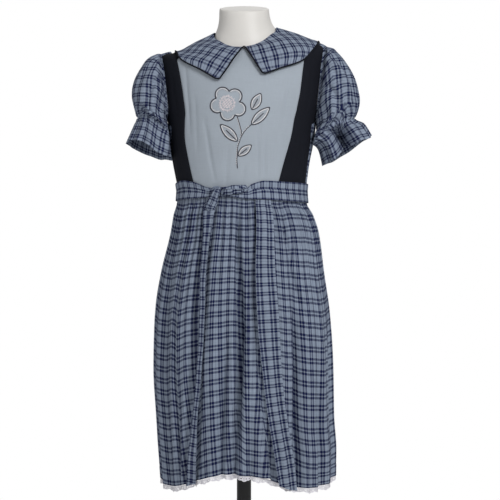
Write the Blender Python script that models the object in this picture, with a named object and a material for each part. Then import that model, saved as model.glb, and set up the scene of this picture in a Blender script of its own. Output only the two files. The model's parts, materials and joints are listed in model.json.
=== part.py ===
"""Child's dirndl dress on a limbless dress form with a pole stand.

Metres, +Z up. The dress faces -Y, and +X is at the viewer's right.
The origin is the centre of the stand base's underside, on the floor.
Angles go round the body in degrees: 0 is centre front, 90 the viewer's right side,
-90 the viewer's left side and 180 centre back.
"""
import math

import bpy
import numpy as np


def columns(names, *rows):
    """A short table as one array for each named column."""
    return dict(zip(names.split(), np.array(rows, float).T))


# Cloth and seams, metres, but the seam edge in degrees
CLOTH = 0.0015
SEAM_GAP = 0.0003
SEAM_EDGE = 0.12
SHOULDER_SEAM_EDGE = 0.45
LAYER_GAP = 0.0004
WAIST_Z = 0.687

# Steps for working out normals: degrees round a skin, then along one that runs up or down
TURN_STEP = 0.5
UPWARD = 0.02
DOWNWARD = -0.02
SHARP_ANGLE = 50

# Skin of the torso under the dress, a row for each level from waist to neckline
BODY = columns(
    "level z_front z_side z_back half_width shift front back tilt",
    (0, .687, .687, .687, .1100, -.0035, .084, .078, .00),
    (1, .735, .735, .735, .1180, -.0050, .088, .082, .00),
    (2, .785, .770, .785, .1240, -.0040, .094, .088, .00),
    (3, .834, .812, .840, .1295, -.0030, .096, .094, .02),
    (4, .865, .845, .875, .1360, -.0020, .091, .096, .035),
    (5, .893, .9255, .905, .1410, -.0020, .080, .090, .05),
    (6, .912, .9370, .930, .1120, .0000, .067, .078, .095),
    (7, .925, .9505, .947, .0850, .0010, .056, .066, .095),
    (8, .931, .9630, .958, .0540, .0020, .046, .054, .12),
)
NECKLINE_LEVEL = 8
SHOULDER_LEVEL = 5
BODICE_LEVELS = np.array((.006, .7, 1.4, 2, 2.6, 3, 3.25, 3.6, 4, 4.4, 4.75, 5, 5.4, 5.8, 6.4, 7.1, 8))
BAND_TOP_LEVEL = 5.8
FRONT_COLUMNS = 17
BAND_COLUMNS = 6
BACK_COLUMNS = 11

# Seams of the bodice, the angle of each at a level
SEAMS = columns(
    "level left_inner right_inner left_outer right_outer",
    (0, -46.5, 32.5, -89, 80),
    (1, -49, 38.5, -87, 77),
    (2, -51.5, 43, -79, 73),
    (2.6, -50, 44.5, -73, 70.5),
    (3, -48.5, 46, -90, 90),
    (4, -48.5, 46.5, -90, 90),
    (5, -53, 49, -90, 90),
    (5.8, -84, 84, -90, 90),
    (6, -90, 90, -90, 90),
    (8, -90, 90, -90, 90),
)

# Armhole, an oval in angle and level round the end of the shoulder
ARMHOLE_LEVEL = 4
ARMHOLE_HALF_LEVEL = 1
ARMHOLE_SPREAD = 24

# Sleeve rings from the armhole out, each by its top and bottom point, outward from X = 0
SLEEVES = {
    "left": columns(
        "top_out top_z bottom_out bottom_z half_depth ruffle",
        (.1510, .9235, .1380, .8060, .046, .0006),
        (.1700, .9110, .1405, .8010, .057, .0012),
        (.1880, .8820, .1420, .7975, .061, .0016),
        (.1935, .8520, .1415, .7940, .057, .0018),
        (.1850, .8140, .1395, .7890, .045, .0012),
        (.1910, .7990, .1380, .7740, .048, .0022),
        (.2030, .7700, .1340, .7430, .055, .0040),
    ),
    "right": columns(
        "top_out top_z bottom_out bottom_z half_depth ruffle",
        (.1480, .9350, .1320, .8080, .046, .0006),
        (.1690, .9235, .1365, .7990, .057, .0012),
        (.1900, .8890, .1380, .7930, .061, .0016),
        (.1975, .8520, .1365, .7870, .057, .0018),
        (.1890, .8130, .1345, .7780, .046, .0012),
        (.2000, .7985, .1350, .7620, .049, .0024),
        (.2180, .7805, .1395, .7320, .055, .0045),
    ),
}
SLEEVE_HEAD = 0.005
SLEEVE_STATIONS = np.array((0, 1, 2, 2.5, 3, 4, 5, 6, 7, 8))
SLEEVE_WAVES = 11
COLUMNS_PER_WAVE = 3

# Collar halves, the outer edge as angle and level along the neckline from front to back
COLLARS = {
    "left": columns(
        "share neck_angle edge_angle edge_level",
        (0.00, -2, -11.5, 4.22),
        (0.15, -22, -27, 4.53),
        (0.30, -48, -46, 5.05),
        (0.42, -68, -66, 5.60),
        (0.55, -90, -92, 5.80),
        (0.75, -128, -122, 5.2),
        (1.00, -178.5, -170, 4.9),
    ),
    "right": columns(
        "share neck_angle edge_angle edge_level",
        (0.00, -1, 11, 4.45),
        (0.15, 22, 27, 4.68),
        (0.30, 46, 45, 4.82),
        (0.42, 66, 60, 5.20),
        (0.55, 90, 86, 5.52),
        (0.75, 128, 122, 5.1),
        (1.00, 178.5, 170, 4.9),
    ),
}
COLLAR_LIFT = 0.0008
COLLAR_SPREAD = 0.0015
COLLAR_ROLL = 0.0020
COLLAR_CORNER = 0.07
COLLAR_ROUNDING = 0.16
COLLAR_ROWS = 6
COLLAR_MIDDLE = np.linspace(.12, .88, 15)

# Skirt, a row for each share of its length from waist to hem
SKIRT = columns(
    "share left right front back gather",
    (0.000, .1135, .1065, .084, .078, .0005),
    (0.045, .1150, .1080, .086, .080, .0008),
    (0.086, .1185, .1175, .096, .092, .0024),
    (0.148, .1240, .1275, .108, .105, .0026),
    (0.293, .1425, .1375, .122, .120, .0016),
    (0.458, .1550, .1485, .130, .130, .0007),
    (0.620, .1575, .1530, .134, .136, .0000),
    (0.790, .1525, .1545, .134, .138, .0000),
    (0.912, .1480, .1585, .130, .138, .0000),
    (1.000, .1445, .1580, .126, .137, .0000),
)
SKIRT_ROWS = (0, .045, .09, .15, .27, .42, .60, .80, 1)
HEM = columns(
    "angle z",
    (-180, .186), (-140, .180), (-90, .184), (-58, .177), (-35, .190), (-10, .207),
    (12, .202), (32, .184), (50, .180), (90, .183), (140, .180), (180, .186),
)
GATHERS = 48
GATHER_PEAK = 1.3
GATHER_BEAT = 7
GATHER_PHASE = 40
FOLD_GROWTH = 0.35

# Troughs between the skirt's large folds
FOLDS = columns(
    "top_angle middle_angle hem_angle start depth half_angle",
    (-66, -62, -63, .12, .012, 9),
    (-47, -45, -50, .45, .006, 6),
    (-33, -31, -40, .05, .018, 8),
    (-14, -12, -17, .30, .009, 6),
    (-4.5, -1.5, -7, .10, .014, 5),
    (7, 8, 18, .02, .010, 5.5),
    (5, 4.5, 4, .72, .010, 4.5),
    (37, 38, 36, .15, .014, 7),
    (58, 57, 58, .50, .008, 7),
    (79, 78.5, 78, .30, .008, 7),
    (99, 100, 101, .08, .017, 8),
    (121, 122, 123, .20, .012, 7),
    (142, 143.5, 145, .06, .019, 8),
    (162, 163.5, 165, .16, .013, 7),
    (185, 185.5, 186, .08, .019, 8),
    (208, 207, 206, .25, .012, 7),
    (229, 228.5, 228, .06, .018, 8),
    (250, 250.5, 251, .20, .011, 7),
    (271, 271.5, 272, .32, .009, 7),
)

# Lace edging under the hem
LACE_DROP = 0.0078
LACE_WALL = 0.001
LACE_GAP = 0.0007
SCALLOP = 0.0014
SCALLOPS = 40

# Sash: the band round the waist as angle, lower edge and upper edge
SASH = columns(
    "angle low high",
    (-180, .6660, .6990), (-90, .6695, .6985), (-60, .6715, .7035), (-45, .6725, .7000),
    (-31, .6740, .6905), (-23, .6750, .6890), (-12, .6750, .6925), (0, .6715, .6950),
    (9, .6705, .6965), (20, .6700, .7020), (45, .6675, .7000), (90, .6660, .6985), (180, .6660, .6990),
)
SASH_COLUMNS = 60
KNOT_ANGLE = -24.5
KNOT_SIZE = (0.0088, 0.0065, 0.0082)
KNOT_RISE = 0.0094
KNOT_RINGS = (-66, -42, -18, 6, 30, 54, 74)
KNOT_SEGMENTS = 16
TWIST = columns(
    "angle z half_height",
    (-18.5, .6830, .0030), (-14, .6838, .0052), (-8, .6842, .0056), (-2, .6848, .0050), (3.5, .6858, .0020),
)
TWIST_DEPTH = 0.0032
TWIST_RINGS = 9
TWIST_SEGMENTS = 10

# Hanging ends of the sash: place by angle, width and share of the skirt's length
TAIL_RIGHT = columns(
    "share angle width",
    (0.035, 17.5, .0255), (0.10, 16.3, .028), (0.27, 14.9, .032), (0.48, 15.9, .0365),
    (0.68, 18.6, .034), (0.82, 22.1, .0355), (0.94, 25.7, .037), (1.010, 27.6, .034),
)
TAIL_LEFT = columns(
    "share angle width",
    (0.035, -26.4, .014), (0.06, -28.5, .0115), (0.10, -29.0, .0100), (0.25, -28.3, .0095),
    (0.45, -26.2, .0085), (0.62, -27.3, .0085), (0.75, -30.4, .0085), (0.90, -34.4, .0150),
    (1.010, -37.0, .0185),
)
TAIL_SHARES = (.065, .09, .12, .15, .21, .27, .345, .42, .51, .60, .70, .80, .90, .96)
TAIL_COLUMNS = 6
TAIL_RIPPLE = 0.0016
RIPPLE_SHARE = 0.25
TAIL_TOP_GAP = 0.0008
TAIL_LAYER = 0.0012
TAIL_TURN = 0.0008

# The narrow end's outline: across its width, where -1 and 2 are its turned edges, then out from the skirt
TAIL_OUTLINE = columns(
    "across layers turns",
    (1, 0, 0), (0, 0, 0), (-1, 0, 0), (-1, 2, 1), (0, 2, 1), (1, 2, 1), (1, 2, 2), (0, 2, 2), (-1, 2, 2),
    (-1, 3, 2), (0, 3, 2), (1, 3, 2), (2, 3, 2), (2, 1, 1), (1, 1, 1), (0, 1, 1), (0, 1, 0), (1, 1, 0),
)

# Limbless form: how far its skin lies inside the dress at each level, then hips and neck
FORM_INSET = columns(
    "level inset",
    (0, .0030), (1, .0050), (2, .0055), (3, .0050), (4, .0042), (5, .0044),
    (6, .0026), (7, .0014), (8, .0010),
)
FORM_HIPS = columns(
    "z half_width front back",
    (.515, .080, .055, .062), (.519, .100, .070, .080), (.532, .111, .080, .091), (.570, .116, .084, .094),
    (.615, .113, .082, .086), (.655, .1075, .080, .077),
)
FORM_NECK = columns(
    "share half_width front back",
    (.16, .0512, .0445, .050), (.36, .0472, .0425, .0455), (.62, .0445, .0415, .0425),
    (.93, .0433, .0410, .0415), (1.0, .0418, .0395, .0400),
)
NECK_TOP_Z = 1.0060
NECK_TOP_SLOPE = math.tan(math.radians(14))
NECK_SHIFT = -0.0018
FORM_COLUMNS = 36
FORM_LEVELS = (0, 1.4, 2.6, 3.6, 4.4, 5, 5.4, 5.8, 6.4, 7.1, 8)

# Stand
POLE_RADIUS = 0.0125
BASE_RADIUS = 0.140
BASE_THICKNESS = 0.012
BASE_BEVEL = 0.003
ROUND_SEGMENTS = 48

# Colours as seen, 0 to 255
PLAIN_BLUE = (155, 163, 172)
NAVY = (30, 32, 40)
CHECK_BLUE = (98, 105, 122)
LACE_WHITE = (222, 221, 228)
FORM_WHITE = (224, 222, 219)
STAND_BLACK = (24, 24, 26)


def follow(xs, ys, at):
    """Value of a smooth curve through the points (xs, ys), with no overshoot between them."""
    at = np.clip(at, xs[0], xs[-1])
    step = np.diff(xs)
    slope = np.diff(ys) / step
    product = slope[:-1] * slope[1:]
    total = slope[:-1] + slope[1:]
    inner = np.where(product > 0, 2 * product / np.where(total == 0, 1, total), 0)
    tangent = np.concatenate(([slope[0]], inner, [slope[-1]]))
    index = np.clip(np.searchsorted(xs, at, side="right") - 1, 0, len(step) - 1)
    t = (at - xs[index]) / step[index]
    start = (1 + 2 * t) * (1 - t) ** 2 * ys[index] + t * (1 - t) ** 2 * step[index] * tangent[index]
    end = t * t * (3 - 2 * t) * ys[index + 1] + t * t * (t - 1) * step[index] * tangent[index + 1]
    return start + end


def read(table, key, name, at):
    """Column `name` of a table at a place `at` of its column `key`."""
    return follow(table[key], table[name], np.asarray(at, float))


def point(x, y, z):
    """Arrays of coordinates as one array of points."""
    return np.stack(np.broadcast_arrays(x, y, z), axis=-1)


def round_body(angle, centre, left, right, front, back):
    """X and Y on an oval whose four half sizes differ."""
    across, ahead = np.sin(np.radians(angle)), np.cos(np.radians(angle))
    x = centre + across * np.where(across > 0, right, left)
    y = -ahead * np.where(ahead > 0, front, back)
    return x, y


def body_skin(angle, level):
    """Point on the torso's skin."""
    half_width, shift = read(BODY, "level", "half_width", level), read(BODY, "level", "shift", level)
    front, back = read(BODY, "level", "front", level), read(BODY, "level", "back", level)
    x, y = round_body(angle, shift, half_width, half_width, front, back)
    side = np.sin(np.radians(angle)) ** 2
    end = np.where(np.cos(np.radians(angle)) > 0, read(BODY, "level", "z_front", level),
                   read(BODY, "level", "z_back", level))
    z = read(BODY, "level", "z_side", level) * side + end * (1 - side)
    return point(x, y, z + read(BODY, "level", "tilt", level) * (x - shift))


def hem_z(angle):
    """Height of the skirt's lower edge."""
    return read(HEM, "angle", "z", (np.asarray(angle, float) + 180) % 360 - 180)


def fold_depth(angle, share):
    """How far the large folds draw the skirt in."""
    depth = np.zeros(np.broadcast(angle, share).shape)
    for top, middle, hem, start, deep, half in zip(*FOLDS.values()):
        path = top * (1 - share) * (1 - 2 * share) + 4 * middle * share * (1 - share)
        path = path + hem * share * (2 * share - 1)
        away = (angle - path + 180) % 360 - 180
        bump = np.where(np.abs(away) < half, np.cos(np.pi / 2 * away / half) ** 2, 0)
        grown = np.clip((share - start) / FOLD_GROWTH, 0, 1)
        depth = depth + deep * bump * grown * grown * (3 - 2 * grown)
    return depth


def skirt_skin(angle, share, folds=True, gathers=True):
    """Point on the skirt's inside."""
    angle, share = np.asarray(angle, float), np.asarray(share, float)
    drawn_in = fold_depth(angle, share) if folds else 0
    wave = 0
    if gathers:
        uneven = 1 + (GATHER_PEAK - 1) * np.sin(np.radians(GATHER_BEAT * angle + GATHER_PHASE))
        wave = read(SKIRT, "share", "gather", share) * uneven * np.cos(np.radians(GATHERS * angle))
    sizes = [read(SKIRT, "share", name, share) for name in ("left", "right", "front", "back")]
    x, y = round_body(angle, 0, *(size + wave - drawn_in for size in sizes))
    return point(x, y, WAIST_Z - SEAM_GAP - (WAIST_Z - SEAM_GAP - hem_z(angle)) * share)


def plain_skirt(angle, share):
    """The skirt's surface without its folds and gathers."""
    return skirt_skin(angle, share, folds=False, gathers=False)


def folded_skirt(angle, share):
    """The skirt's surface with folds and without gathers."""
    return skirt_skin(angle, share, gathers=False)


def waist_skin(angle, z):
    """Point of the bodice or the skirt at a height near the waist."""
    levels = np.linspace(0, 1, 21)
    level = np.interp(z, read(BODY, "level", "z_side", levels), levels)
    share = np.clip((WAIST_Z - z) / (WAIST_Z - hem_z(angle)), 0, 1)
    return np.where((z > WAIST_Z)[..., None], body_skin(angle, level), plain_skirt(angle, share))


def outward(skin, across, along, up_step=UPWARD):
    """Unit normals of a skin whose first place runs counter-clockwise."""
    over = skin(across + TURN_STEP, along) - skin(across - TURN_STEP, along)
    up = skin(across, along + up_step) - skin(across, along - up_step)
    normal = np.cross(over, up)
    return normal / np.linalg.norm(normal, axis=-1, keepdims=True)


def finish(name, colour, roughness=.9, metallic=0.0):
    """Principled material of one sub-part."""
    material = bpy.data.materials.new(name)
    material.use_nodes = True
    linear = [((part / 255 + .055) / 1.055) ** 2.4 for part in colour]
    shader = material.node_tree.nodes["Principled BSDF"]
    shader.inputs["Base Color"].default_value = (*linear, 1)
    shader.inputs["Roughness"].default_value = roughness
    shader.inputs["Metallic"].default_value = metallic
    material.diffuse_color = (*linear, 1)
    return material


def add_object(name, points, faces, material):
    """One closed mesh object."""
    mesh = bpy.data.meshes.new(name)
    mesh.from_pydata([tuple(float(value) for value in one) for one in points], [], faces)
    mesh.validate()
    mesh.materials.append(material)
    mesh.shade_smooth()
    mesh.set_sharp_from_angle(angle=math.radians(SHARP_ANGLE))
    piece = bpy.data.objects.new(name, mesh)
    bpy.context.scene.collection.objects.link(piece)
    return piece


def sheet_wall(name, inner, outer, material, closed=False):
    """A cloth wall between two grids of points, rows going up and columns counter-clockwise.

    Both faces are split along the same diagonals, so that the wall keeps its thickness.
    """
    rows, count = inner.shape[:2]
    size = rows * count
    last = count if closed else count - 1
    faces = []

    def add(a, b, c, d):
        faces.extend(((a, b, c), (a, c, d)))

    for row in range(rows - 1):
        for column in range(last):
            a, b = row * count + column, row * count + (column + 1) % count
            c, d = b + count, a + count
            add(size + a, size + b, size + c, size + d)
            faces.extend(((c, b, a), (d, c, a)))
    for column in range(last):
        a, b = column, (column + 1) % count
        add(a, b, size + b, size + a)
        a, b = a + size - count, b + size - count
        add(b, a, size + a, size + b)
    if not closed:
        for row in range(rows - 1):
            a, d = row * count, (row + 1) * count
            add(a, size + a, size + d, d)
            a, d = a + count - 1, d + count - 1
            add(d, size + d, size + a, a)
    points = np.concatenate((inner.reshape(-1, 3), outer.reshape(-1, 3)))
    return add_object(name, points, faces, material)


def cloth(name, skin, across, along, material, lift=0.0, closed=False, normal_skin=None,
          up_step=UPWARD):
    """A cloth wall on a skin, lifted off it. `up_step` is negative where the skin's places run down."""
    across, along = np.broadcast_arrays(np.asarray(across, float), np.asarray(along, float))
    normal = outward(normal_skin or skin, across, along, up_step)
    base = skin(across, along)
    lift = np.broadcast_to(lift, across.shape)[..., None]
    return sheet_wall(name, base + normal * lift, base + normal * (lift + CLOTH), material, closed)


def ring_solid(name, rings, material):
    """A filled solid through rings that go up, each counter-clockwise, with flat ends."""
    count = len(rings[0])
    faces = [tuple(reversed(range(count)))]
    for row in range(len(rings) - 1):
        for column in range(count):
            a, b = row * count + column, row * count + (column + 1) % count
            faces.append((a, b, b + count, a + count))
    top = (len(rings) - 1) * count
    faces.append(tuple(range(top, top + count)))
    return add_object(name, np.concatenate(rings), faces, material)


def span(low, high, count):
    """Columns between two edges that may change from row to row."""
    return low[:, None] + (high - low)[:, None] * np.linspace(0, 1, count)[None, :]


def ordered(near, far, sign):
    """Two edges of a panel on one side of the body, in order round it."""
    return (near, far) if sign > 0 else (-far, -near)


def armhole_edge(level, edge):
    """Keep an edge angle out of the armhole at a level."""
    reach = np.clip(1 - ((level - ARMHOLE_LEVEL) / ARMHOLE_HALF_LEVEL) ** 2, 0, 1)
    return np.minimum(edge, 90 - ARMHOLE_SPREAD * np.sqrt(reach))


def seam_angle(half_width):
    """Half a seam's gap as an angle round the body."""
    return math.degrees(SEAM_GAP / 2 / half_width)


def build_bodice(plain, navy, check):
    """Front panel, two navy bands and two back panels."""
    gap = seam_angle(BODY["front"][0])
    edge = np.where(BODICE_LEVELS > SHOULDER_LEVEL, SHOULDER_SEAM_EDGE, SEAM_EDGE)
    left = np.maximum(read(SEAMS, "level", "left_inner", BODICE_LEVELS) + edge, -90 + gap)
    right = np.minimum(read(SEAMS, "level", "right_inner", BODICE_LEVELS) - edge, 90 - gap)
    cloth("bodice_front", body_skin, span(left, right, FRONT_COLUMNS), BODICE_LEVELS[:, None], plain)

    below = BODICE_LEVELS < ARMHOLE_LEVEL - ARMHOLE_HALF_LEVEL
    band_rows = BODICE_LEVELS <= BAND_TOP_LEVEL
    for side, sign in (("left", -1), ("right", 1)):
        seam = np.abs(read(SEAMS, "level", side + "_outer", BODICE_LEVELS))
        ahead = np.where(below, seam, armhole_edge(BODICE_LEVELS, 90 - gap)) - SEAM_EDGE * below
        behind = np.where(below, seam, 180 - armhole_edge(BODICE_LEVELS, 90 - gap)) + SEAM_EDGE * below
        inner = np.abs(read(SEAMS, "level", side + "_inner", BODICE_LEVELS)) + edge
        band = span(*ordered(inner[band_rows], ahead[band_rows], sign), BAND_COLUMNS)
        cloth("bodice_side_" + side, body_skin, band, BODICE_LEVELS[band_rows, None], navy)
        back = ordered(behind, np.full(len(behind), 180 - gap), sign)
        cloth("bodice_back_" + side, body_skin, span(*back, BACK_COLUMNS), BODICE_LEVELS[:, None], check)


def collar_half(side):
    """The places of one collar half: rows from outer edge to neckline, columns from front to back."""
    table = COLLARS[side]
    corner = np.linspace(0, COLLAR_CORNER, 4)
    shares = np.concatenate((corner, COLLAR_MIDDLE, 1 - corner[::-1]))
    neck = read(table, "share", "neck_angle", shares)
    angle = read(table, "share", "edge_angle", shares)
    level = read(table, "share", "edge_level", shares)
    near = np.minimum(shares, 1 - shares) / COLLAR_CORNER
    rounding = COLLAR_ROUNDING * (1 - np.sqrt(np.clip(1 - (1 - np.clip(near, 0, 1)) ** 2, 0, 1)))
    reach = np.linspace(1, 0, COLLAR_ROWS)[:, None] * (1 - rounding)[None, :]
    return neck + (angle - neck) * reach, NECKLINE_LEVEL + (level - NECKLINE_LEVEL) * reach, reach


def build_collar(check):
    """Two flat collar halves that lie on the bodice."""
    for side in ("left", "right"):
        angle, level, reach = collar_half(side)
        if side == "left":
            angle, level, reach = (np.flip(part, axis=1) for part in (angle, level, reach))
        lift = CLOTH + COLLAR_LIFT + COLLAR_SPREAD * reach + COLLAR_ROLL * (4 * reach * (1 - reach)) ** 2
        cloth("collar_" + side, body_skin, angle, level, check, lift=lift)


def sleeve_skin(side, sign):
    """The sleeve's surface: round its ring in degrees from the top, along its stations."""
    table = SLEEVES[side]

    def skin(turn, station):
        turn, station = np.broadcast_arrays(np.asarray(turn, float), np.asarray(station, float))
        up, ahead = np.cos(np.radians(turn)), np.sin(np.radians(turn))
        hole_angle = sign * (90 - ARMHOLE_SPREAD * ahead * sign)
        hole_level = ARMHOLE_LEVEL + ARMHOLE_HALF_LEVEL * up
        hole, normal = body_skin(hole_angle, hole_level), outward(body_skin, hole_angle, hole_level)
        rings = [hole + normal * (CLOTH + LAYER_GAP), hole + normal * (CLOTH + LAYER_GAP + SLEEVE_HEAD)]
        for top_out, top_z, bottom_out, bottom_z, half_depth, ruffle in zip(*table.values()):
            wave = ruffle * np.cos(np.radians(SLEEVE_WAVES * turn))
            out, z = (top_out + bottom_out) / 2, (top_z + bottom_z) / 2
            half_out, half_z = (top_out - bottom_out) / 2, (top_z - bottom_z) / 2
            half = math.hypot(half_out, half_z)
            rings.append(point(sign * (out + half_out / half * (half + wave) * up),
                               -sign * (half_depth + wave) * ahead,
                               z + half_z / half * (half + wave) * up))
        rings = np.stack(rings)
        place = np.clip(station, 0, len(rings) - 1)
        below = np.clip(place.astype(int), 0, len(rings) - 2)
        t = (place - below)[..., None]

        def ring(index):
            index = np.clip(index, 0, len(rings) - 1)
            return np.take_along_axis(rings, index[None, ..., None], axis=0)[0]

        before, first, second, after = ring(below - 1), ring(below), ring(below + 1), ring(below + 2)
        return first + t / 2 * (second - before + t * (2 * before - 5 * first + 4 * second - after
                                                       + t * (3 * (first - second) + after - before)))
    return skin


def build_sleeves(check):
    """Two puffed sleeves that hang from the armholes, gathered above a ruffle."""
    count = SLEEVE_WAVES * COLUMNS_PER_WAVE
    turns = np.arange(count)[None, :] * 360 / count
    for side, sign in (("left", -1), ("right", 1)):
        cloth("sleeve_" + side, sleeve_skin(side, sign), turns, SLEEVE_STATIONS[:, None], check, closed=True)


def build_skirt(check):
    """Front and back widths of the skirt, seamed at the sides."""
    shares = np.array(SKIRT_ROWS[::-1])[:, None]
    step = 360 / (GATHERS * COLUMNS_PER_WAVE)
    gap = seam_angle(SKIRT["right"][0])
    for name, middle in (("skirt_front", 0), ("skirt_back", 180)):
        angles = np.arange(-90, 90 + step / 2, step)
        angles[0] += gap
        angles[-1] -= gap
        cloth(name, skirt_skin, middle + angles[None, :], shares, check, normal_skin=folded_skirt,
              up_step=DOWNWARD)


def build_lace(white):
    """Scalloped lace that hangs from the hem."""
    count = SCALLOPS * COLUMNS_PER_WAVE
    angles = np.arange(count)[None, :] * 360 / count
    hem = folded_skirt(angles, np.ones((1, 1)))
    normal = outward(folded_skirt, angles, np.ones((1, 1)), DOWNWARD)
    scallop = SCALLOP * np.cos(np.radians(SCALLOPS * angles))
    drops = np.concatenate((-LACE_DROP - scallop, np.full((1, count), -LACE_GAP)))
    base = np.repeat(hem, 2, axis=0)
    base[..., 2] += drops
    lift = (CLOTH - LACE_WALL) / 2
    sheet_wall("hem_lace", base + normal * lift, base + normal * (lift + LACE_WALL), white, closed=True)


def build_sash(check):
    """Sash round the waist, its knot, the twisted stretch beside it and the two hanging ends."""
    angles = np.arange(SASH_COLUMNS) * 360 / SASH_COLUMNS - 180
    low, high = read(SASH, "angle", "low", angles), read(SASH, "angle", "high", angles)
    share = np.array([0, .5, 1])[:, None]
    heights = low + (high - low) * share
    lift = CLOTH + SKIRT["gather"][1] * GATHER_PEAK + LAYER_GAP
    cloth("sash_band", waist_skin, angles[None, :], heights, check, lift=lift, closed=True,
          normal_skin=waist_cylinder)
    face = lift + CLOTH + 2 * LAYER_GAP
    build_knot(check, face)
    build_twist(check, face)
    build_tail_right(check)
    build_tail_left(check)


def waist_cylinder(angle, z):
    """An upright surface round the waist, for the sash's normals."""
    ring = body_skin(angle, np.zeros_like(angle))
    return point(ring[..., 0], ring[..., 1], z)


def build_knot(check, face):
    """The sash's knot, a rounded lump on the band."""
    wide, deep, high = KNOT_SIZE
    angle, z = np.array([KNOT_ANGLE]), np.array([read(SASH, "angle", "low", KNOT_ANGLE) + KNOT_RISE])
    normal = outward(waist_cylinder, angle, z)[0]
    centre = waist_skin(angle, z)[0] + normal * (face + deep)
    side = np.cross((0, 0, 1), normal)
    rings = []
    turns = np.radians(np.arange(KNOT_SEGMENTS) * 360 / KNOT_SEGMENTS)
    around_knot = wide * np.cos(turns)[:, None] * side + deep * np.sin(turns)[:, None] * normal
    for up in np.radians(KNOT_RINGS):
        rings.append(centre + around_knot * math.cos(up) + np.array((0, 0, high * math.sin(up))))
    ring_solid("sash_knot", [ring[::-1] if clockwise(rings[0]) else ring for ring in rings], check)


def clockwise(ring):
    """Whether a ring of points runs clockwise seen from above."""
    x, y = ring[:, 0], ring[:, 1]
    return np.sum(x * np.roll(y, -1) - y * np.roll(x, -1)) < 0


def build_twist(check, face):
    """The rolled stretch of sash between the knot and the wide band."""
    places = np.linspace(TWIST["angle"][0], TWIST["angle"][-1], TWIST_RINGS)
    turns = np.radians(np.arange(TWIST_SEGMENTS) * 360 / TWIST_SEGMENTS)
    rings = []
    for place in places:
        z = read(TWIST, "angle", "z", place)
        high = read(TWIST, "angle", "half_height", place)
        deep = TWIST_DEPTH * high / max(TWIST["half_height"])
        heights = z + high * np.sin(turns)
        angle = np.full(len(turns), place)
        normal = outward(waist_cylinder, angle, heights)
        rings.append(waist_skin(angle, heights) + normal * (face + deep - deep * np.cos(turns))[:, None])
    ring_solid("sash_twist", rings, check)


def tail_rows(table):
    """Shares of the skirt's length at a tail's rows, from its end up to the sash's lower edge."""
    top_angle = table["angle"][0]
    reach = np.degrees(table["width"][0] / 2 / BODY["front"][0])
    top_z = np.min(read(SASH, "angle", "low", top_angle + np.array((-1, 0, 1)) * reach)) - TAIL_TOP_GAP
    top = (WAIST_Z - top_z) / (WAIST_Z - hem_z(top_angle))
    return np.array([table["share"][-1], *TAIL_SHARES[::-1], top])


def tail_lift(share):
    """How far a tail hangs in front of the skirt's base surface."""
    return read(SKIRT, "share", "gather", share) * GATHER_PEAK + CLOTH + LAYER_GAP


def around(angle, share, distance):
    """Degrees round the skirt that a distance takes up."""
    step = plain_skirt(angle + TURN_STEP, share) - plain_skirt(angle - TURN_STEP, share)
    return distance * 2 * TURN_STEP / np.linalg.norm(step, axis=-1)


def build_tail_right(check):
    """The sash's wide hanging end, a flat strip."""
    shares = tail_rows(TAIL_RIGHT)[:, None]
    middle, width = read(TAIL_RIGHT, "share", "angle", shares), read(TAIL_RIGHT, "share", "width", shares)
    across = np.linspace(-.5, .5, TAIL_COLUMNS)[None, :]
    angles = middle + around(middle, shares, width) * across
    ripple = TAIL_RIPPLE * (1 + np.cos(4 * np.pi * across)) * np.clip(shares / RIPPLE_SHARE, 0, 1)
    cloth("sash_tail_right", plain_skirt, angles, shares, check, lift=tail_lift(shares) + ripple,
          up_step=DOWNWARD)


def build_tail_left(check):
    """The sash's narrow hanging end, folded lengthwise in three."""
    rings = []
    for share in tail_rows(TAIL_LEFT):
        middle, width = read(TAIL_LEFT, "share", "angle", share), read(TAIL_LEFT, "share", "width", share)
        across = (np.clip(TAIL_OUTLINE["across"], 0, 1) - .5) * width
        across = across + (TAIL_OUTLINE["across"] - np.clip(TAIL_OUTLINE["across"], 0, 1)) * TAIL_LAYER
        places = middle + around(middle, share, across)
        normal = outward(plain_skirt, places, np.full(len(places), share), DOWNWARD)
        out = tail_lift(share) + TAIL_OUTLINE["layers"] * TAIL_LAYER + TAIL_OUTLINE["turns"] * TAIL_TURN
        rings.append(plain_skirt(places, np.full(len(places), share)) + normal * out[:, None])
    ring_solid("sash_tail_left", [ring[::-1] if clockwise(rings[0]) else ring for ring in rings], check)


def body_ring(angles, level):
    """Ring of the form's torso inside the dress."""
    levels = np.full(len(angles), float(level))
    inset = read(FORM_INSET, "level", "inset", level)
    return body_skin(angles, levels) - outward(body_skin, angles, levels) * inset


def build_form(white):
    """The limbless torso with its neck."""
    angles = np.arange(FORM_COLUMNS) * 360 / FORM_COLUMNS
    rings = []
    for z, half_width, front, back in zip(*FORM_HIPS.values()):
        x, y = round_body(angles, BODY["shift"][0], half_width, half_width, front, back)
        rings.append(point(x, y, z))
    rings += [body_ring(angles, level) for level in FORM_LEVELS]
    base = rings[-1]
    for share, half_width, front, back in zip(*FORM_NECK.values()):
        x, y = round_body(angles, BODY["shift"][-1], half_width, half_width, front, back)
        top = NECK_TOP_Z + NECK_TOP_SLOPE * y
        rings.append(point(x + NECK_SHIFT * share, y, base[:, 2] + (top - base[:, 2]) * share))
    ring_solid("form_torso", rings, white)


def build_stand(black):
    """Round base and pole."""
    turns = np.radians(np.arange(ROUND_SEGMENTS) * 360 / ROUND_SEGMENTS)

    def circle(radius, z):
        return point(radius * np.cos(turns), radius * np.sin(turns), z)

    ring_solid("stand_base", [circle(BASE_RADIUS, 0), circle(BASE_RADIUS, BASE_THICKNESS - BASE_BEVEL),
                              circle(BASE_RADIUS - BASE_BEVEL, BASE_THICKNESS)], black)
    ring_solid("stand_pole", [circle(POLE_RADIUS, BASE_THICKNESS + SEAM_GAP),
                              circle(POLE_RADIUS, FORM_HIPS["z"][0] - SEAM_GAP)], black)


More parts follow.
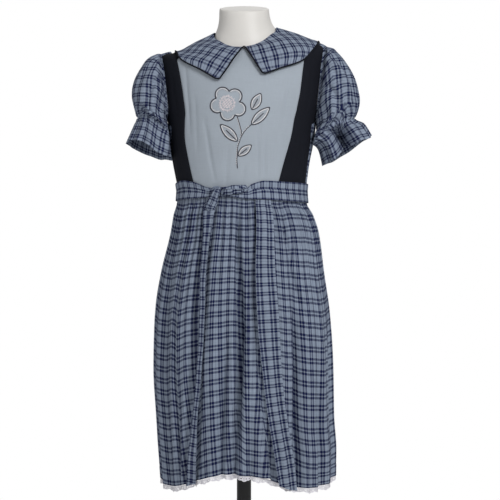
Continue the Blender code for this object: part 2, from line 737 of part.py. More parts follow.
def main():
    for old in list(bpy.data.objects):
        bpy.data.objects.remove(old, do_unlink=True)
    plain = finish("plain_cotton", PLAIN_BLUE)
    navy = finish("navy_cotton", NAVY)
    check = finish("check_cotton", CHECK_BLUE)
    build_bodice(plain, navy, check)
    build_collar(check)
    build_sleeves(check)
    build_skirt(check)
    build_lace(finish("lace_white", LACE_WHITE))
    build_sash(check)
    build_form(finish("form_white", FORM_WHITE, roughness=.6))
    build_stand(finish("stand_black", STAND_BLACK, roughness=.4, metallic=.6))


main()
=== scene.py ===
"""Child's dirndl on a limbless dress form: cloth, sewing, form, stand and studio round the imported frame.

Metres, +Z up. The dress faces -Y and +X is at the viewer's right. Angles go round the body in degrees:
0 is centre front, 90 the viewer's right side, -90 the viewer's left side and 180 centre back.
"""
import json
import math

import bpy
import numpy as np
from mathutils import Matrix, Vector
from mathutils.bvhtree import BVHTree

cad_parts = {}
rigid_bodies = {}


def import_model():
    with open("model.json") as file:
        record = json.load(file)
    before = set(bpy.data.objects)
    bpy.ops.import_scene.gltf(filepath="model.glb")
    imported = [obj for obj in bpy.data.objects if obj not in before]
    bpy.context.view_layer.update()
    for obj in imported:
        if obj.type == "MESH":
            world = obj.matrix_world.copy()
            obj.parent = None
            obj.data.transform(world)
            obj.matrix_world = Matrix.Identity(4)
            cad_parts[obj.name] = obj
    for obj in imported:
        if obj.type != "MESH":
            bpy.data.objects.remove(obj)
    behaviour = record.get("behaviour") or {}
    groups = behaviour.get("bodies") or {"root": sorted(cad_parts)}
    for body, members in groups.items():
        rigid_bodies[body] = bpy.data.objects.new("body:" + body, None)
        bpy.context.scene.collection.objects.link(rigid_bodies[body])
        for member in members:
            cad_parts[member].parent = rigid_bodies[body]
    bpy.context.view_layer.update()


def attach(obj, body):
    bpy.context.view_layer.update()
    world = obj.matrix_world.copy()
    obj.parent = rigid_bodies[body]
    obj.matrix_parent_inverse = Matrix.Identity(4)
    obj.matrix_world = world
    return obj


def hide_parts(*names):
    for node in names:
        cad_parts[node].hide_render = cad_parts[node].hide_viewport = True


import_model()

bl_info = {
    "name": "Child's Dirndl",
    "version": (1, 0, 0),
    "blender": (4, 5, 0),
    "location": "View3D > Sidebar > Dirndl",
    "description": "Makes the cloth, sewing, form, stand and studio of a child's dirndl",
    "category": "Object",
}


def columns(names, *rows):
    """A short table as one array for each named column."""
    return dict(zip(names.split(), np.array(rows, float).T))


def both_sides(names, left, right):
    """The same kind of table for the viewer's left and right."""
    return {"left": columns(names, *left), "right": columns(names, *right)}


def crease_table(*rows):
    """Soft creases, each from one place to another, with its half width and its depth."""
    return columns("across along end_across end_along half depth", *rows)


# The cut and drape of the dress, as in the solids. Angles are in degrees. Levels count the rows of BODY
# from the waist up, and shares run from 0 at the waist to 1 at the hem.

SIDES = (("left", -1), ("right", 1))
CLOTH = 0.0015
SEAM_GAP = 0.0003
LAYER_GAP = 0.0004
WAIST_Z = 0.687
TURN_STEP = 0.5
UPWARD = 0.02
DOWNWARD = -0.02

BODY = columns(
    "level z_front z_side z_back half_width shift front back tilt",
    (0, .687, .687, .687, .1100, -.0035, .084, .078, .00),
    (1, .735, .735, .735, .1180, -.0050, .088, .082, .00),
    (2, .785, .770, .785, .1240, -.0040, .094, .088, .00),
    (3, .834, .812, .840, .1295, -.0030, .096, .094, .02),
    (4, .865, .845, .875, .1360, -.0020, .091, .096, .035),
    (5, .893, .9255, .905, .1410, -.0020, .080, .090, .05),
    (6, .912, .9370, .930, .1120, .0000, .067, .078, .095),
    (7, .925, .9505, .947, .0850, .0010, .056, .066, .095),
    (8, .931, .9630, .958, .0540, .0020, .046, .054, .12),
)
NECKLINE_LEVEL = 8
BAND_TOP_LEVEL = 5.8
NECK_DIP = 0.0032
SIDE_DIP = 0.0055
SIDE_DIP_ANGLE = 72
SIDE_DIP_REACH = 13
DIP_LEVEL = 6
LEFT_SHOULDER = 0.0030
LEFT_SHOULDER_LEVEL = 5.5
LEFT_SHOULDER_REACH = 0.45

SEAMS = columns(
    "level left_inner right_inner left_outer right_outer",
    (0, -46.5, 32.5, -89, 80),
    (1, -49, 38.5, -87, 77),
    (2, -51.5, 43, -79, 73),
    (2.6, -50, 44.5, -73, 70.5),
    (3, -48.5, 46, -90, 90),
    (4, -48.5, 46.5, -90, 90),
    (5, -53, 49, -90, 90),
    (5.4, -55.5, 53, -90, 90),
    (5.8, -62, 60, -90, 90),
    (6, -66, 64, -90, 90),
    (8, -90, 90, -90, 90),
)

ARMHOLE_LEVEL = 4
ARMHOLE_HALF_LEVEL = 1
ARMHOLE_SPREAD = 18

SLEEVES = both_sides(
    "top_out top_z bottom_out bottom_z half_depth ruffle",
    (
        (.1510, .9235, .1380, .8060, .046, .0006),
        (.1700, .9110, .1405, .8010, .057, .0012),
        (.1880, .8820, .1420, .7975, .061, .0016),
        (.1935, .8520, .1415, .7940, .057, .0018),
        (.1850, .8140, .1395, .7890, .045, .0012),
        (.1910, .7990, .1380, .7740, .048, .0022),
        (.2030, .7700, .1340, .7430, .055, .0040),
    ),
    (
        (.1480, .9350, .1320, .8080, .046, .0006),
        (.1690, .9235, .1365, .7990, .057, .0012),
        (.1900, .8890, .1380, .7930, .061, .0016),
        (.1975, .8520, .1365, .7870, .057, .0018),
        (.1890, .8130, .1345, .7780, .046, .0012),
        (.2000, .7985, .1350, .7620, .049, .0024),
        (.2180, .7805, .1395, .7320, .055, .0045),
    ),
)
SLEEVE_HEAD = 0.005
GATHER_STATION = 6

COLLARS = both_sides(
    "share neck_angle edge_angle edge_level",
    (
        (0.00, -2, -15.8, 4.24),
        (0.15, -22, -30, 4.74),
        (0.30, -48, -46, 5.05),
        (0.42, -68, -66, 5.60),
        (0.55, -90, -92, 5.80),
        (0.75, -128, -122, 5.2),
        (1.00, -178.5, -170, 4.9),
    ),
    (
        (0.00, -1, 13.6, 4.45),
        (0.15, 22, 27, 4.68),
        (0.30, 46, 45, 4.82),
        (0.42, 66, 60, 5.20),
        (0.55, 90, 86, 5.52),
        (0.75, 128, 122, 5.1),
        (1.00, 178.5, 170, 4.9),
    ),
)
COLLAR_LIFT = 0.0008
COLLAR_SPREAD = 0.0034
COLLAR_ROLL = 0.0020

SKIRT = columns(
    "share left right front back gather",
    (0.000, .1135, .1065, .084, .078, .0005),
    (0.045, .1150, .1080, .086, .080, .0010),
    (0.086, .1185, .1175, .096, .092, .0030),
    (0.148, .1240, .1275, .108, .105, .0027),
    (0.293, .1425, .1375, .122, .120, .0011),
    (0.458, .1550, .1485, .130, .130, .0004),
    (0.620, .1575, .1530, .134, .136, .0000),
    (0.790, .1525, .1545, .134, .138, .0000),
    (0.912, .1480, .1585, .130, .138, .0000),
    (1.000, .1445, .1580, .126, .137, .0000),
)
HEM = columns(
    "angle z",
    (-180, .187), (-140, .186), (-110, .189), (-90, .193), (-75, .1830), (-65, .1775), (-52, .1815),
    (-35, .1930), (-10, .2065), (12, .2005), (32, .183), (50, .179), (72, .184), (90, .192), (110, .189),
    (140, .186), (180, .187),
)
GATHERS = 48
GATHER_PEAK = 1.3
GATHER_BEAT = 7
GATHER_PHASE = 40
GATHER_WANDER = ((.8, 5, .6), (.5, 11, 2))
GATHER_LEAN = 0.5
GATHER_ROUNDNESS = 0.75
SWELLS = ((17, .0012, 1.0, 1), (29, .0009, 2.1, -2), (41, .0006, .4, 3))
SWELL_LEAN = 0.9
SWELL_START = 0.12
SWELL_GROWTH = 0.4
PUCKER = 0.0005
PUCKERS = 24
PUCKER_START = 0.2
PUCKER_SHARE = 0.38
PUCKER_REACH = 0.34
FOLD_GROWTH = 0.35
FOLDS = columns(
    "top_angle middle_angle hem_angle start depth half_angle",
    (-66, -62, -63, .12, .012, 9),
    (-47, -45, -50, .45, .006, 6),
    (-33, -31, -40, .05, .018, 8),
    (-14, -12, -17, .30, .009, 6),
    (-4.5, -1.5, -7, .10, .014, 5),
    (7, 8, 18, .02, .010, 5.5),
    (5, 4.5, 4, .72, .010, 4.5),
    (37, 38, 36, .15, .014, 7),
    (58, 57, 58, .50, .008, 7),
    (79, 78.5, 78, .30, .008, 7),
    (99, 100, 101, .08, .017, 8),
    (121, 122, 123, .20, .012, 7),
    (142, 143.5, 145, .06, .019, 8),
    (162, 163.5, 165, .16, .013, 7),
    (185, 185.5, 186, .08, .019, 8),
    (208, 207, 206, .25, .012, 7),
    (229, 228.5, 228, .06, .018, 8),
    (250, 250.5, 251, .20, .011, 7),
    (271, 271.5, 272, .32, .009, 7),
)

TAIL_PLACES = ((21, 11), (-31, 8))
LACE_DROP = 0.0078
SCALLOP = 0.0014
SCALLOPS = 40

SASH = columns(
    "angle low high",
    (-180, .6660, .6990), (-90, .6695, .6985), (-60, .6715, .7035), (-45, .6725, .7000),
    (-31, .6740, .6905), (-23, .6750, .6885), (-12, .6750, .6890), (0, .6715, .6885),
    (4.5, .6710, .6895), (8.5, .6705, .6955), (20, .6700, .7020), (45, .6675, .7000),
    (90, .6660, .6985), (180, .6660, .6990),
)
KNOT_ANGLE = -24.5
KNOT_SIZE = (0.0088, 0.0065, 0.0082)
KNOT_RISE = 0.0094
TWIST = columns(
    "angle z half_height",
    (-18.5, .6821, .0047), (-16.2, .6838, .0064), (-11.5, .6842, .0072), (-7.9, .6860, .0076),
    (-3.9, .6865, .0074), (.3, .6880, .0059), (3.4, .6896, .0042), (5, .6888, .0014),
)
TWIST_DEPTH = 0.0036
TWIST_CREASES = crease_table(
    (-.18, .40, -.30, .82, .13, .0030), (.48, .00, .20, .34, .12, .0018), (-.52, .00, -.40, .36, .12, .0016),
    (.55, .50, .62, .98, .14, .0010), (.05, .02, .10, .30, .10, .0010),
)
TAIL_RIGHT = columns(
    "share angle width",
    (0.035, 17.5, .0255), (0.10, 16.3, .028), (0.27, 14.9, .032), (0.48, 15.9, .0365),
    (0.68, 18.6, .034), (0.82, 22.1, .0355), (0.94, 25.7, .037), (1.010, 27.6, .034),
)
TAIL_LEFT = columns(
    "share angle width",
    (0.035, -25.8, .0170), (0.065, -27.8, .0215), (0.10, -28.2, .0180), (0.16, -28.0, .0125),
    (0.25, -27.6, .0100), (0.45, -26.0, .0088), (0.62, -27.3, .0085), (0.75, -30.4, .0085),
    (0.90, -34.4, .0150), (1.010, -37.0, .0185),
)
TAIL_TOP_GAP = 0.0008
TAIL_RIPPLE = 0.0016
RIPPLE_SHARE = 0.25
RIPPLE_MEAN = 0.8
RIPPLE_SWING = 0.25
TAIL_LAYER = 0.0012

FORM_INSET = columns(
    "level inset",
    (0, .0030), (1, .0050), (2, .0055), (3, .0050), (4, .0042), (5, .0044),
    (6, .0026), (7, .0014), (8, .0010),
)
FORM_HIPS = columns(
    "z half_width front back",
    (.515, .080, .055, .062), (.519, .100, .070, .080), (.532, .111, .080, .091), (.570, .116, .084, .094),
    (.615, .113, .082, .086), (.655, .1075, .080, .077),
)
FORM_NECK = columns(
    "share half_width front back",
    (.16, .0512, .0445, .050), (.36, .0472, .0425, .0455), (.62, .0445, .0415, .0425),
    (.93, .0433, .0410, .0415), (1.0, .0418, .0395, .0400),
)
NECK_TOP_Z = 1.0060
NECK_TOP_SLOPE = math.tan(math.radians(14))
NECK_SHIFT = -0.0018

POLE_RADIUS = 0.0125
BASE_RADIUS = 0.140
BASE_THICKNESS = 0.012


def follow(xs, ys, at):
    """Value of a smooth curve through the points (xs, ys), with no overshoot between them."""
    at = np.clip(at, xs[0], xs[-1])
    step = np.diff(xs)
    slope = np.diff(ys) / step
    product = slope[:-1] * slope[1:]
    total = slope[:-1] + slope[1:]
    inner = np.where(product > 0, 2 * product / np.where(total == 0, 1, total), 0)
    tangent = np.concatenate(([slope[0]], inner, [slope[-1]]))
    index = np.clip(np.searchsorted(xs, at, side="right") - 1, 0, len(step) - 1)
    t = (at - xs[index]) / step[index]
    start = (1 + 2 * t) * (1 - t) ** 2 * ys[index] + t * (1 - t) ** 2 * step[index] * tangent[index]
    end = t * t * (3 - 2 * t) * ys[index + 1] + t * t * (t - 1) * step[index] * tangent[index + 1]
    return start + end


def read(table, names, at):
    """One column of a table, or a list of several, at a place `at` of its first column."""
    key, at = next(iter(table.values())), np.asarray(at, float)
    values = [follow(key, table[name], at) for name in names.split()]
    return values if len(values) > 1 else values[0]


def ramp(value, start, length):
    """0 up to a start, and from there to 1 over a length."""
    return np.clip((value - start) / length, 0, 1)


def fade(value, end, length):
    """0 from an end on, and 1 more than a length before it."""
    return np.clip((end - value) / length, 0, 1)


def bell(value, middle, half):
    """1 at a middle, and less the further from it."""
    return np.exp(-((value - middle) / half) ** 2)


def unit(vectors):
    return vectors / np.linalg.norm(vectors, axis=-1, keepdims=True)


def creases(table, across, along):
    """Depth of soft creases, each from one place to another and fading at both ends."""
    depth = 0
    for start, low, end, high, half, deep in zip(*table.values()):
        run = (along - low) / (high - low)
        away = (across - start - (end - start) * run) / half
        depth = depth + deep * np.exp(-away * away) * np.clip(4 * run * (1 - run), 0, 1) ** .7
    return depth


def turned(angle):
    """The same angle, from -180 to 180."""
    return (angle + 180) % 360 - 180


def point(*places):
    """Arrays of coordinates, two or three, as one array of points."""
    return np.stack(np.broadcast_arrays(*places), axis=-1)


def round_body(angle, centre, left, right, front, back):
    """X and Y on an oval whose four half sizes differ."""
    across, ahead = np.sin(np.radians(angle)), np.cos(np.radians(angle))
    x = centre + across * np.where(across > 0, right, left)
    y = -ahead * np.where(ahead > 0, front, back)
    return x, y


def body_skin(angle, level):
    """Point on the torso's skin."""
    level = np.asarray(level, float)
    half_width, shift, front, back = read(BODY, "half_width shift front back", level)
    z_front, z_side, z_back, tilt = read(BODY, "z_front z_side z_back tilt", level)
    x, y = round_body(angle, shift, half_width, half_width, front, back)
    across, ahead = np.sin(np.radians(angle)), np.cos(np.radians(angle))
    side = across ** 2
    z = z_side * side + np.where(ahead > 0, z_front, z_back) * (1 - side)
    ahead = np.clip(ahead, 0, 1)
    from_front = 90 - np.degrees(np.arcsin(ahead))
    dip = NECK_DIP * 4 * side * ahead ** 2
    dip = dip + SIDE_DIP * bell(from_front, SIDE_DIP_ANGLE, SIDE_DIP_REACH)
    z = z - dip * ramp(level, DIP_LEVEL, NECKLINE_LEVEL - DIP_LEVEL)
    near = bell(level, LEFT_SHOULDER_LEVEL, LEFT_SHOULDER_REACH)
    z = z + LEFT_SHOULDER * np.clip(-across, 0, 1) ** 6 * near
    return point(x, y, z + tilt * (x - shift))


def hem_z(angle):
    """Height of the skirt's lower edge."""
    return read(HEM, "z", turned(np.asarray(angle, float)))


def fold_depth(angle, share):
    """How far the large folds draw the skirt in."""
    depth = np.zeros(np.broadcast(angle, share).shape)
    for top, middle, hem, start, deep, half in zip(*FOLDS.values()):
        path = top * (1 - share) * (1 - 2 * share) + 4 * middle * share * (1 - share)
        path = path + hem * share * (2 * share - 1)
        away = turned(angle - path)
        bump = np.where(np.abs(away) < half, np.cos(np.pi / 2 * away / half) ** 2, 0)
        grown = ramp(share, start, FOLD_GROWTH)
        depth = depth + deep * bump * grown * grown * (3 - 2 * grown)
    return depth


def soft_drape(angle, share):
    """Small uneven swells between the large folds of the skirt, held flat under the sash's ends."""
    turn, slant = np.radians(angle), SWELL_LEAN * share
    held = np.clip(sum(bell(angle, middle, half) for middle, half in TAIL_PLACES), 0, 1)
    swell = sum(size * (np.sin(count * turn + phase + lean * slant) - held)
                for count, size, phase, lean in SWELLS)
    puckers = PUCKER * (np.sin(PUCKERS * turn + .7 * np.sin(5 * turn)) - held)
    puckers = puckers * ramp(share, 0, PUCKER_START)
    near = np.clip(1 - np.abs(share - PUCKER_SHARE) / PUCKER_REACH, 0, 1)
    return swell * ramp(share, SWELL_START, SWELL_GROWTH) + puckers * near


def gather_wave(angle, share):
    """Uneven gathers under the waist seam, with round ridges and narrow valleys."""
    turn = np.radians(angle)
    uneven = 1 + (GATHER_PEAK - 1) * np.sin(np.radians(GATHER_BEAT * angle + GATHER_PHASE))
    phase = GATHERS * turn
    for size, count, start in GATHER_WANDER:
        phase = phase + size * np.sin(count * turn + start)
    ridge = 2 * ((1 + np.cos(phase + GATHER_LEAN * share)) / 2) ** GATHER_ROUNDNESS - 1
    return read(SKIRT, "gather", share) * uneven * ridge


def skirt_skin(angle, share, folds=True, gathers=True):
    """Point on the skirt's inside."""
    angle, share = np.asarray(angle, float), np.asarray(share, float)
    drawn_in = fold_depth(angle, share) if folds else 0
    wave = gather_wave(angle, share) + soft_drape(angle, share) if gathers else 0
    sizes = read(SKIRT, "left right front back", share)
    x, y = round_body(angle, 0, *(size + wave - drawn_in for size in sizes))
    return point(x, y, WAIST_Z - SEAM_GAP - (WAIST_Z - SEAM_GAP - hem_z(angle)) * share)


def plain_skirt(angle, share):
    """The skirt's surface without its folds and gathers."""
    return skirt_skin(angle, share, folds=False, gathers=False)


def folded_skirt(angle, share):
    """The skirt's surface with folds and without gathers."""
    return skirt_skin(angle, share, gathers=False)


def waist_skin(angle, z):
    """Point of the bodice or the skirt at a height near the waist."""
    levels = np.linspace(0, 1, 21)
    level = np.interp(z, read(BODY, "z_side", levels), levels)
    share = np.clip((WAIST_Z - z) / (WAIST_Z - hem_z(angle)), 0, 1)
    return np.where((z > WAIST_Z)[..., None], body_skin(angle, level), plain_skirt(angle, share))


def waist_cylinder(angle, z):
    """An upright surface round the waist, for the sash's normals."""
    ring = body_skin(angle, np.zeros_like(angle))
    return point(ring[..., 0], ring[..., 1], z)


def outward(skin, across, along, up_step=UPWARD):
    """Unit normals of a skin whose first place runs counter-clockwise."""
    over = skin(across + TURN_STEP, along) - skin(across - TURN_STEP, along)
    up = skin(across, along + up_step) - skin(across, along - up_step)
    return unit(np.cross(over, up))


def lifted(skin, across, along, lift, up_step=UPWARD, normal_skin=None):
    """A grid of points at a distance outside a skin."""
    across, along = np.broadcast_arrays(np.asarray(across, float), np.asarray(along, float))
    normal = outward(normal_skin or skin, across, along, up_step)
    return skin(across, along) + normal * np.broadcast_to(lift, across.shape)[..., None]


def lengths(points, axis):
    """Running length along one direction of a grid of points."""
    steps = np.linalg.norm(np.diff(points, axis=axis), axis=-1)
    start = np.zeros_like(np.take(steps, [0], axis=axis))
    return np.concatenate((start, np.cumsum(steps, axis=axis)), axis=axis)


def flat_weave(points, middle=None):
    """Places in the flat cloth of a grid: across from its middle column, and up from its lowest row."""
    across, up = lengths(points, 1), lengths(points, 0)
    middle = points.shape[1] // 2 if middle is None else middle
    return point(across - across[:, middle:middle + 1], up)


# Node arithmetic and materials


class Wire:
    """A node's output that takes part in Python arithmetic."""

    def __init__(self, recipe, socket):
        self.recipe = recipe
        self.socket = socket

    def math(self, operation, *others, clamp=False):
        settings = {"operation": operation, "use_clamp": clamp}
        return self.recipe.add("ShaderNodeMath", settings, dict(enumerate((self, *others))))

    def __add__(self, other):
        return self.math("ADD", other)

    def __sub__(self, other):
        return self.math("SUBTRACT", other)

    def __rsub__(self, other):
        return self.recipe.add("ShaderNodeMath", {"operation": "SUBTRACT"}, {0: other, 1: self})

    def __mul__(self, other):
        return self.math("MULTIPLY", other)

    def __truediv__(self, other):
        return self.math("DIVIDE", other)

    def __mod__(self, other):
        return self.math("FLOORED_MODULO", other)

    def __abs__(self):
        return self.math("ABSOLUTE")

    __radd__ = __add__
    __rmul__ = __mul__

    def limited(self):
        """The value kept from 0 to 1."""
        return self.math("ADD", 0.0, clamp=True)

    def wave(self, repeat):
        """A sine of a place in metres."""
        return (self * (2 * math.pi / repeat)).math("SINE")

    def greater(self, other):
        """The larger of two values."""
        return self.math("MAXIMUM", other)


class Recipe:
    """The nodes of one material."""

    def __init__(self, name, colour, roughness, **sockets):
        self.material = bpy.data.materials.new(name)
        self.material.use_nodes = True
        self.material.diffuse_color = (*colour, 1)
        self.tree = self.material.node_tree
        self.shader = self.tree.nodes["Principled BSDF"]
        self.set("Base Color", (*colour, 1))
        self.set("Roughness", roughness)
        for socket, value in sockets.items():
            self.set(socket.replace("_", " "), value)

    def feed(self, socket, value):
        if isinstance(value, Wire):
            self.tree.links.new(value.socket, socket)
        else:
            socket.default_value = value

    def set(self, socket, value):
        """Feed one socket of the shader."""
        self.feed(self.shader.inputs[socket], value)

    def add(self, kind, settings=None, inputs=None, output=0):
        """Add a node, settings first, then the values or links of its sockets."""
        node = self.tree.nodes.new(kind)
        for name, value in (settings or {}).items():
            setattr(node, name, value)
        for name, value in (inputs or {}).items():
            self.feed(node.inputs[name], value)
        return Wire(self, node.outputs[output])

    def weave(self):
        """Places in the flat cloth, in metres: across and along."""
        place = self.add("ShaderNodeUVMap", {"uv_map": "weave"})
        split = {"Vector": place}
        across = self.add("ShaderNodeSeparateXYZ", None, split, "X")
        return across, Wire(self, across.socket.node.outputs["Y"])

    def body(self):
        """Places on the piece in space."""
        return self.add("ShaderNodeTexCoord", output="Object")

    def vector(self, x, y, z=0.0):
        return self.add("ShaderNodeCombineXYZ", None, {"X": x, "Y": y, "Z": z})

    def noise(self, place, scale, detail=2.0):
        inputs = {"Vector": place, "Scale": scale, "Detail": detail}
        return self.add("ShaderNodeTexNoise", None, inputs, "Fac")

    def blend(self, share, first, second):
        """A colour between two colours, which are sockets 6 and 7 of a colour mix."""
        first, second = ((*c, 1) if isinstance(c, tuple) else c for c in (first, second))
        return self.add("ShaderNodeMix", {"data_type": "RGBA"}, {0: share, 6: first, 7: second}, 2)

    def raise_by(self, height, distance, strength=1.0):
        """Relief from a height from 0 to 1, with its distance in metres."""
        inputs = {"Height": height, "Distance": distance, "Strength": strength}
        self.set("Normal", self.add("ShaderNodeBump", None, inputs))


COTTON_ROUGHNESS = 0.92
SLUB_THICK = 900
SLUB_LONG = 40
HEM_LINE = 0.0014
THIN_LINE = 0.0007
THIN_STRENGTH = 0.45
WOVEN_SHARE = 0.2
PLY_REPEAT = 0.0007


def yarn_relief(across, along, pitch):
    """Over and under of a plain weave, from 0 to 1."""
    return across.wave(2 * pitch) * along.wave(2 * pitch) * .5 + .5


def slubs(recipe, across, along):
    """Uneven yarns that run both ways through the cloth, from 0 to 1."""
    warp = recipe.noise(recipe.vector(across * SLUB_THICK, along * SLUB_LONG), 1.0)
    weft = recipe.noise(recipe.vector(across * SLUB_LONG, along * SLUB_THICK), 1.0)
    return warp * .5 + weft * .5


def rising(place, limit, soft):
    """A soft step from 0 to 1 where a place passes its limit."""
    return ((place - limit) / soft + .5).limited()


def falling(place, limit, soft):
    """A soft step from 1 to 0 where a place passes its limit."""
    return ((limit - place) / soft + .5).limited()


def stripe(across, repeat, offset, half, soft):
    """Pairs of dark yarn lines, each line at `offset` either side of the repeat's centre."""
    away = abs((across / repeat) % 1 - .5) * repeat
    return falling(abs(away - offset), half, soft)


def tint(colour, factor):
    """A linear colour made lighter or darker."""
    return tuple(min(1, part * factor) for part in colour)


def check_cotton(name, looks, hem=0.0, sideways=False, strengths=(.58, .76)):
    """Yarn-dyed check: light ground with paired dark lines both ways, cut along the cloth or sideways.

    `hem` is the place along the cloth where its turned-up edge is sewn down, and 0 stands for no such
    edge. The strengths are those of the upright and the level lines.
    """
    ground, dark = tuple(looks.check_ground), tuple(looks.check_line)
    recipe = Recipe(name, ground, COTTON_ROUGHNESS, Specular_IOR_Level=.15)
    across, along = recipe.weave()
    turned_up = falling(abs(along - hem), HEM_LINE / 2, .0006) if hem else 0.0
    if sideways:
        across, along = along, across
    shifted = across + looks.warp_shift
    warp = stripe(shifted, looks.warp_repeat, looks.warp_offset, looks.warp_line / 2, .0010)
    thin = stripe(shifted, looks.warp_repeat, looks.warp_repeat / 2, THIN_LINE / 2, .0005)
    warp = warp.greater(thin * THIN_STRENGTH)
    shifted = along + looks.weft_shift
    weft = stripe(shifted, looks.weft_repeat, looks.weft_offset, looks.weft_line / 2, .0012)
    over = yarn_relief(across, along, looks.yarn_pitch)
    woven = ((over - .5) * 3 + .5).limited()
    upright, level = strengths
    share = (warp * (woven * WOVEN_SHARE + upright) + weft * (level - woven * WOVEN_SHARE)).limited()
    uneven = slubs(recipe, across, along)
    colour = recipe.blend((uneven * 2.4 - .7).limited(), tint(ground, .80), tint(ground, 1.12))
    recipe.set("Base Color", recipe.blend(share, colour, dark))
    recipe.set("Roughness", uneven * .12 + .82)
    rumple = recipe.noise(recipe.vector(across * 60, along * 22), 1.0, 3.0)
    recipe.raise_by(over * .10 + uneven * .12 + rumple * .8 - turned_up * .35, .0016, .55)
    return recipe.material


def plain_cotton(name, colour, looks, contrast=.10):
    """Plain woven cotton with uneven yarns, some lighter and some darker than its colour."""
    recipe = Recipe(name, colour, COTTON_ROUGHNESS, Specular_IOR_Level=.15)
    across, along = recipe.weave()
    over = yarn_relief(across, along, looks.yarn_pitch)
    uneven = slubs(recipe, across, along)
    cloudy = recipe.noise(recipe.vector(across * 30, along * 24), 1.0, 3.0)
    share = ((uneven - .5) * 1.2 + (cloudy - .5) * .35 + .5).limited()
    recipe.set("Base Color", recipe.blend(share, tint(colour, 1 - contrast), tint(colour, 1 + contrast)))
    recipe.set("Roughness", uneven * .14 + .80)
    recipe.raise_by(over * .10 + uneven * .16 + cloudy * .5, .0014, .45)
    return recipe.material


NET_REPEAT = 0.0016
EYELET_UP = 0.0032
EYELET_RADIUS = 0.0011
EYELET_RING = 0.0017
EYELET_RING_HALF = 0.0006
LACE_HEADING = 0.0062
LACE_EDGE = 0.0012


def lace_cotton(looks):
    """Narrow cotton lace: a fine net with a dense heading, a denser edge and an eyelet in each scallop."""
    recipe = Recipe("lace_white", tuple(looks.lace), .85, Sheen_Weight=.1, Specular_IOR_Level=.25)
    across, along = recipe.weave()
    hole = (across.wave(NET_REPEAT) * along.wave(NET_REPEAT) * 6 - 1.2).limited()
    around = abs((across / looks.scallop_width) % 1 - .5) * looks.scallop_width
    reach = (around * around + (along - EYELET_UP) * (along - EYELET_UP)).math("SQRT")
    ring = falling(abs(reach - EYELET_RING), EYELET_RING_HALF, .0003)
    dense = rising(along, LACE_HEADING, .0004).greater(falling(along, LACE_EDGE, .0004)).greater(ring)
    recipe.set("Alpha", 1 - (hole * (1 - dense)).greater(falling(reach, EYELET_RADIUS, .0003)))
    thread = recipe.noise(recipe.vector(across * 1400, along * 1400), 1.0)
    recipe.set("Base Color", recipe.blend(thread * .5, tuple(looks.lace), tint(looks.lace, .8)))
    recipe.raise_by(dense * .5 + thread * .4 + ring * .3, .0005, .6)
    return recipe.material


def thread_cotton(name, colour):
    """Twisted embroidery thread: its ply runs across the stitch."""
    recipe = Recipe(name, colour, .6, Sheen_Weight=.2, Specular_IOR_Level=.4)
    along, around = recipe.weave()
    ply = (along + around * .6).wave(PLY_REPEAT) * .5 + .5
    fluff = recipe.noise(recipe.vector(along * 900, around * 900), 1.0)
    recipe.set("Base Color", recipe.blend(ply * .6 + fluff * .4, tint(colour, .72), tint(colour, 1.18)))
    recipe.raise_by(ply * .7 + fluff * .3, .0003, .7)
    return recipe.material


def form_shell(looks):
    """Smooth off-white moulded shell, a little cloudy."""
    colour = tuple(looks.form)
    recipe = Recipe("form_white", colour, .45, Specular_IOR_Level=.4, Coat_Weight=.08, Coat_Roughness=.35)
    place = recipe.body()
    cloudy = recipe.noise(place, 14.0, 3.0)
    grain = recipe.noise(place, 900.0, 2.0)
    recipe.set("Base Color", recipe.blend(cloudy, tint(colour, .97), tint(colour, 1.02)))
    recipe.set("Roughness", cloudy * .12 + .40)
    recipe.raise_by(grain * .5 + cloudy * .5, .0002, .35)
    return recipe.material


def powder_coat(looks):
    """Satin black powder coat with its fine orange peel, rubbed a little in places."""
    colour = tuple(looks.stand)
    recipe = Recipe("stand_black", colour, .42, Specular_IOR_Level=.5)
    place = recipe.body()
    peel = recipe.noise(place, 700.0, 2.0)
    rubbed = recipe.noise(place, 9.0, 4.0)
    recipe.set("Base Color", recipe.blend((rubbed * 2 - .9).limited() * .5, colour, tint(colour, 2.2)))
    recipe.set("Roughness", rubbed * .25 + .30)
    recipe.raise_by(peel, .0003, .4)
    return recipe.material


# Mesh making


def deselect():
    for piece in bpy.context.view_layer.objects:
        piece.select_set(False)


def only(piece):
    """Select one piece and make it the active one."""
    deselect()
    piece.select_set(True)
    bpy.context.view_layer.objects.active = piece


def mesh_piece(name, points, faces, weave, material):
    """A mesh object with a place in the flat cloth for each corner of its faces."""
    mesh = bpy.data.meshes.new(name)
    mesh.from_pydata(np.asarray(points, float).reshape(-1, 3).tolist(), [], faces)
    layer = mesh.uv_layers.new(name="weave")
    layer.data.foreach_set("uv", np.asarray(weave, np.float32).ravel())
    mesh.materials.append(material)
    piece = bpy.data.objects.new(name, mesh)
    bpy.context.scene.collection.objects.link(piece)
    return piece


def grid_faces(rows, count, closed, start=0):
    """Faces of a grid with rows that go up and columns counter-clockwise, and their corners in its weave."""
    last = count if closed else count - 1
    row, column = np.meshgrid(np.arange(rows - 1), np.arange(last), indexing="ij")
    row, column = row.ravel(), column.ravel()
    beyond = (column + 1) % count
    faces = np.stack((row * count + column, row * count + beyond,
                      (row + 1) * count + beyond, (row + 1) * count + column), axis=1) + start
    wide = last + 1
    corners = np.stack((row * wide + column, row * wide + column + 1,
                        (row + 1) * wide + column + 1, (row + 1) * wide + column), axis=1)
    return faces, corners


def finish_piece(piece, nodes=(), smooth=50):
    """Smooth a piece, let it ride on the dress and stand for its solids."""
    only(piece)
    bpy.ops.object.shade_smooth_by_angle(angle=math.radians(smooth))
    deselect()
    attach(piece, "root")
    if nodes:
        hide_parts(*nodes)
    return piece


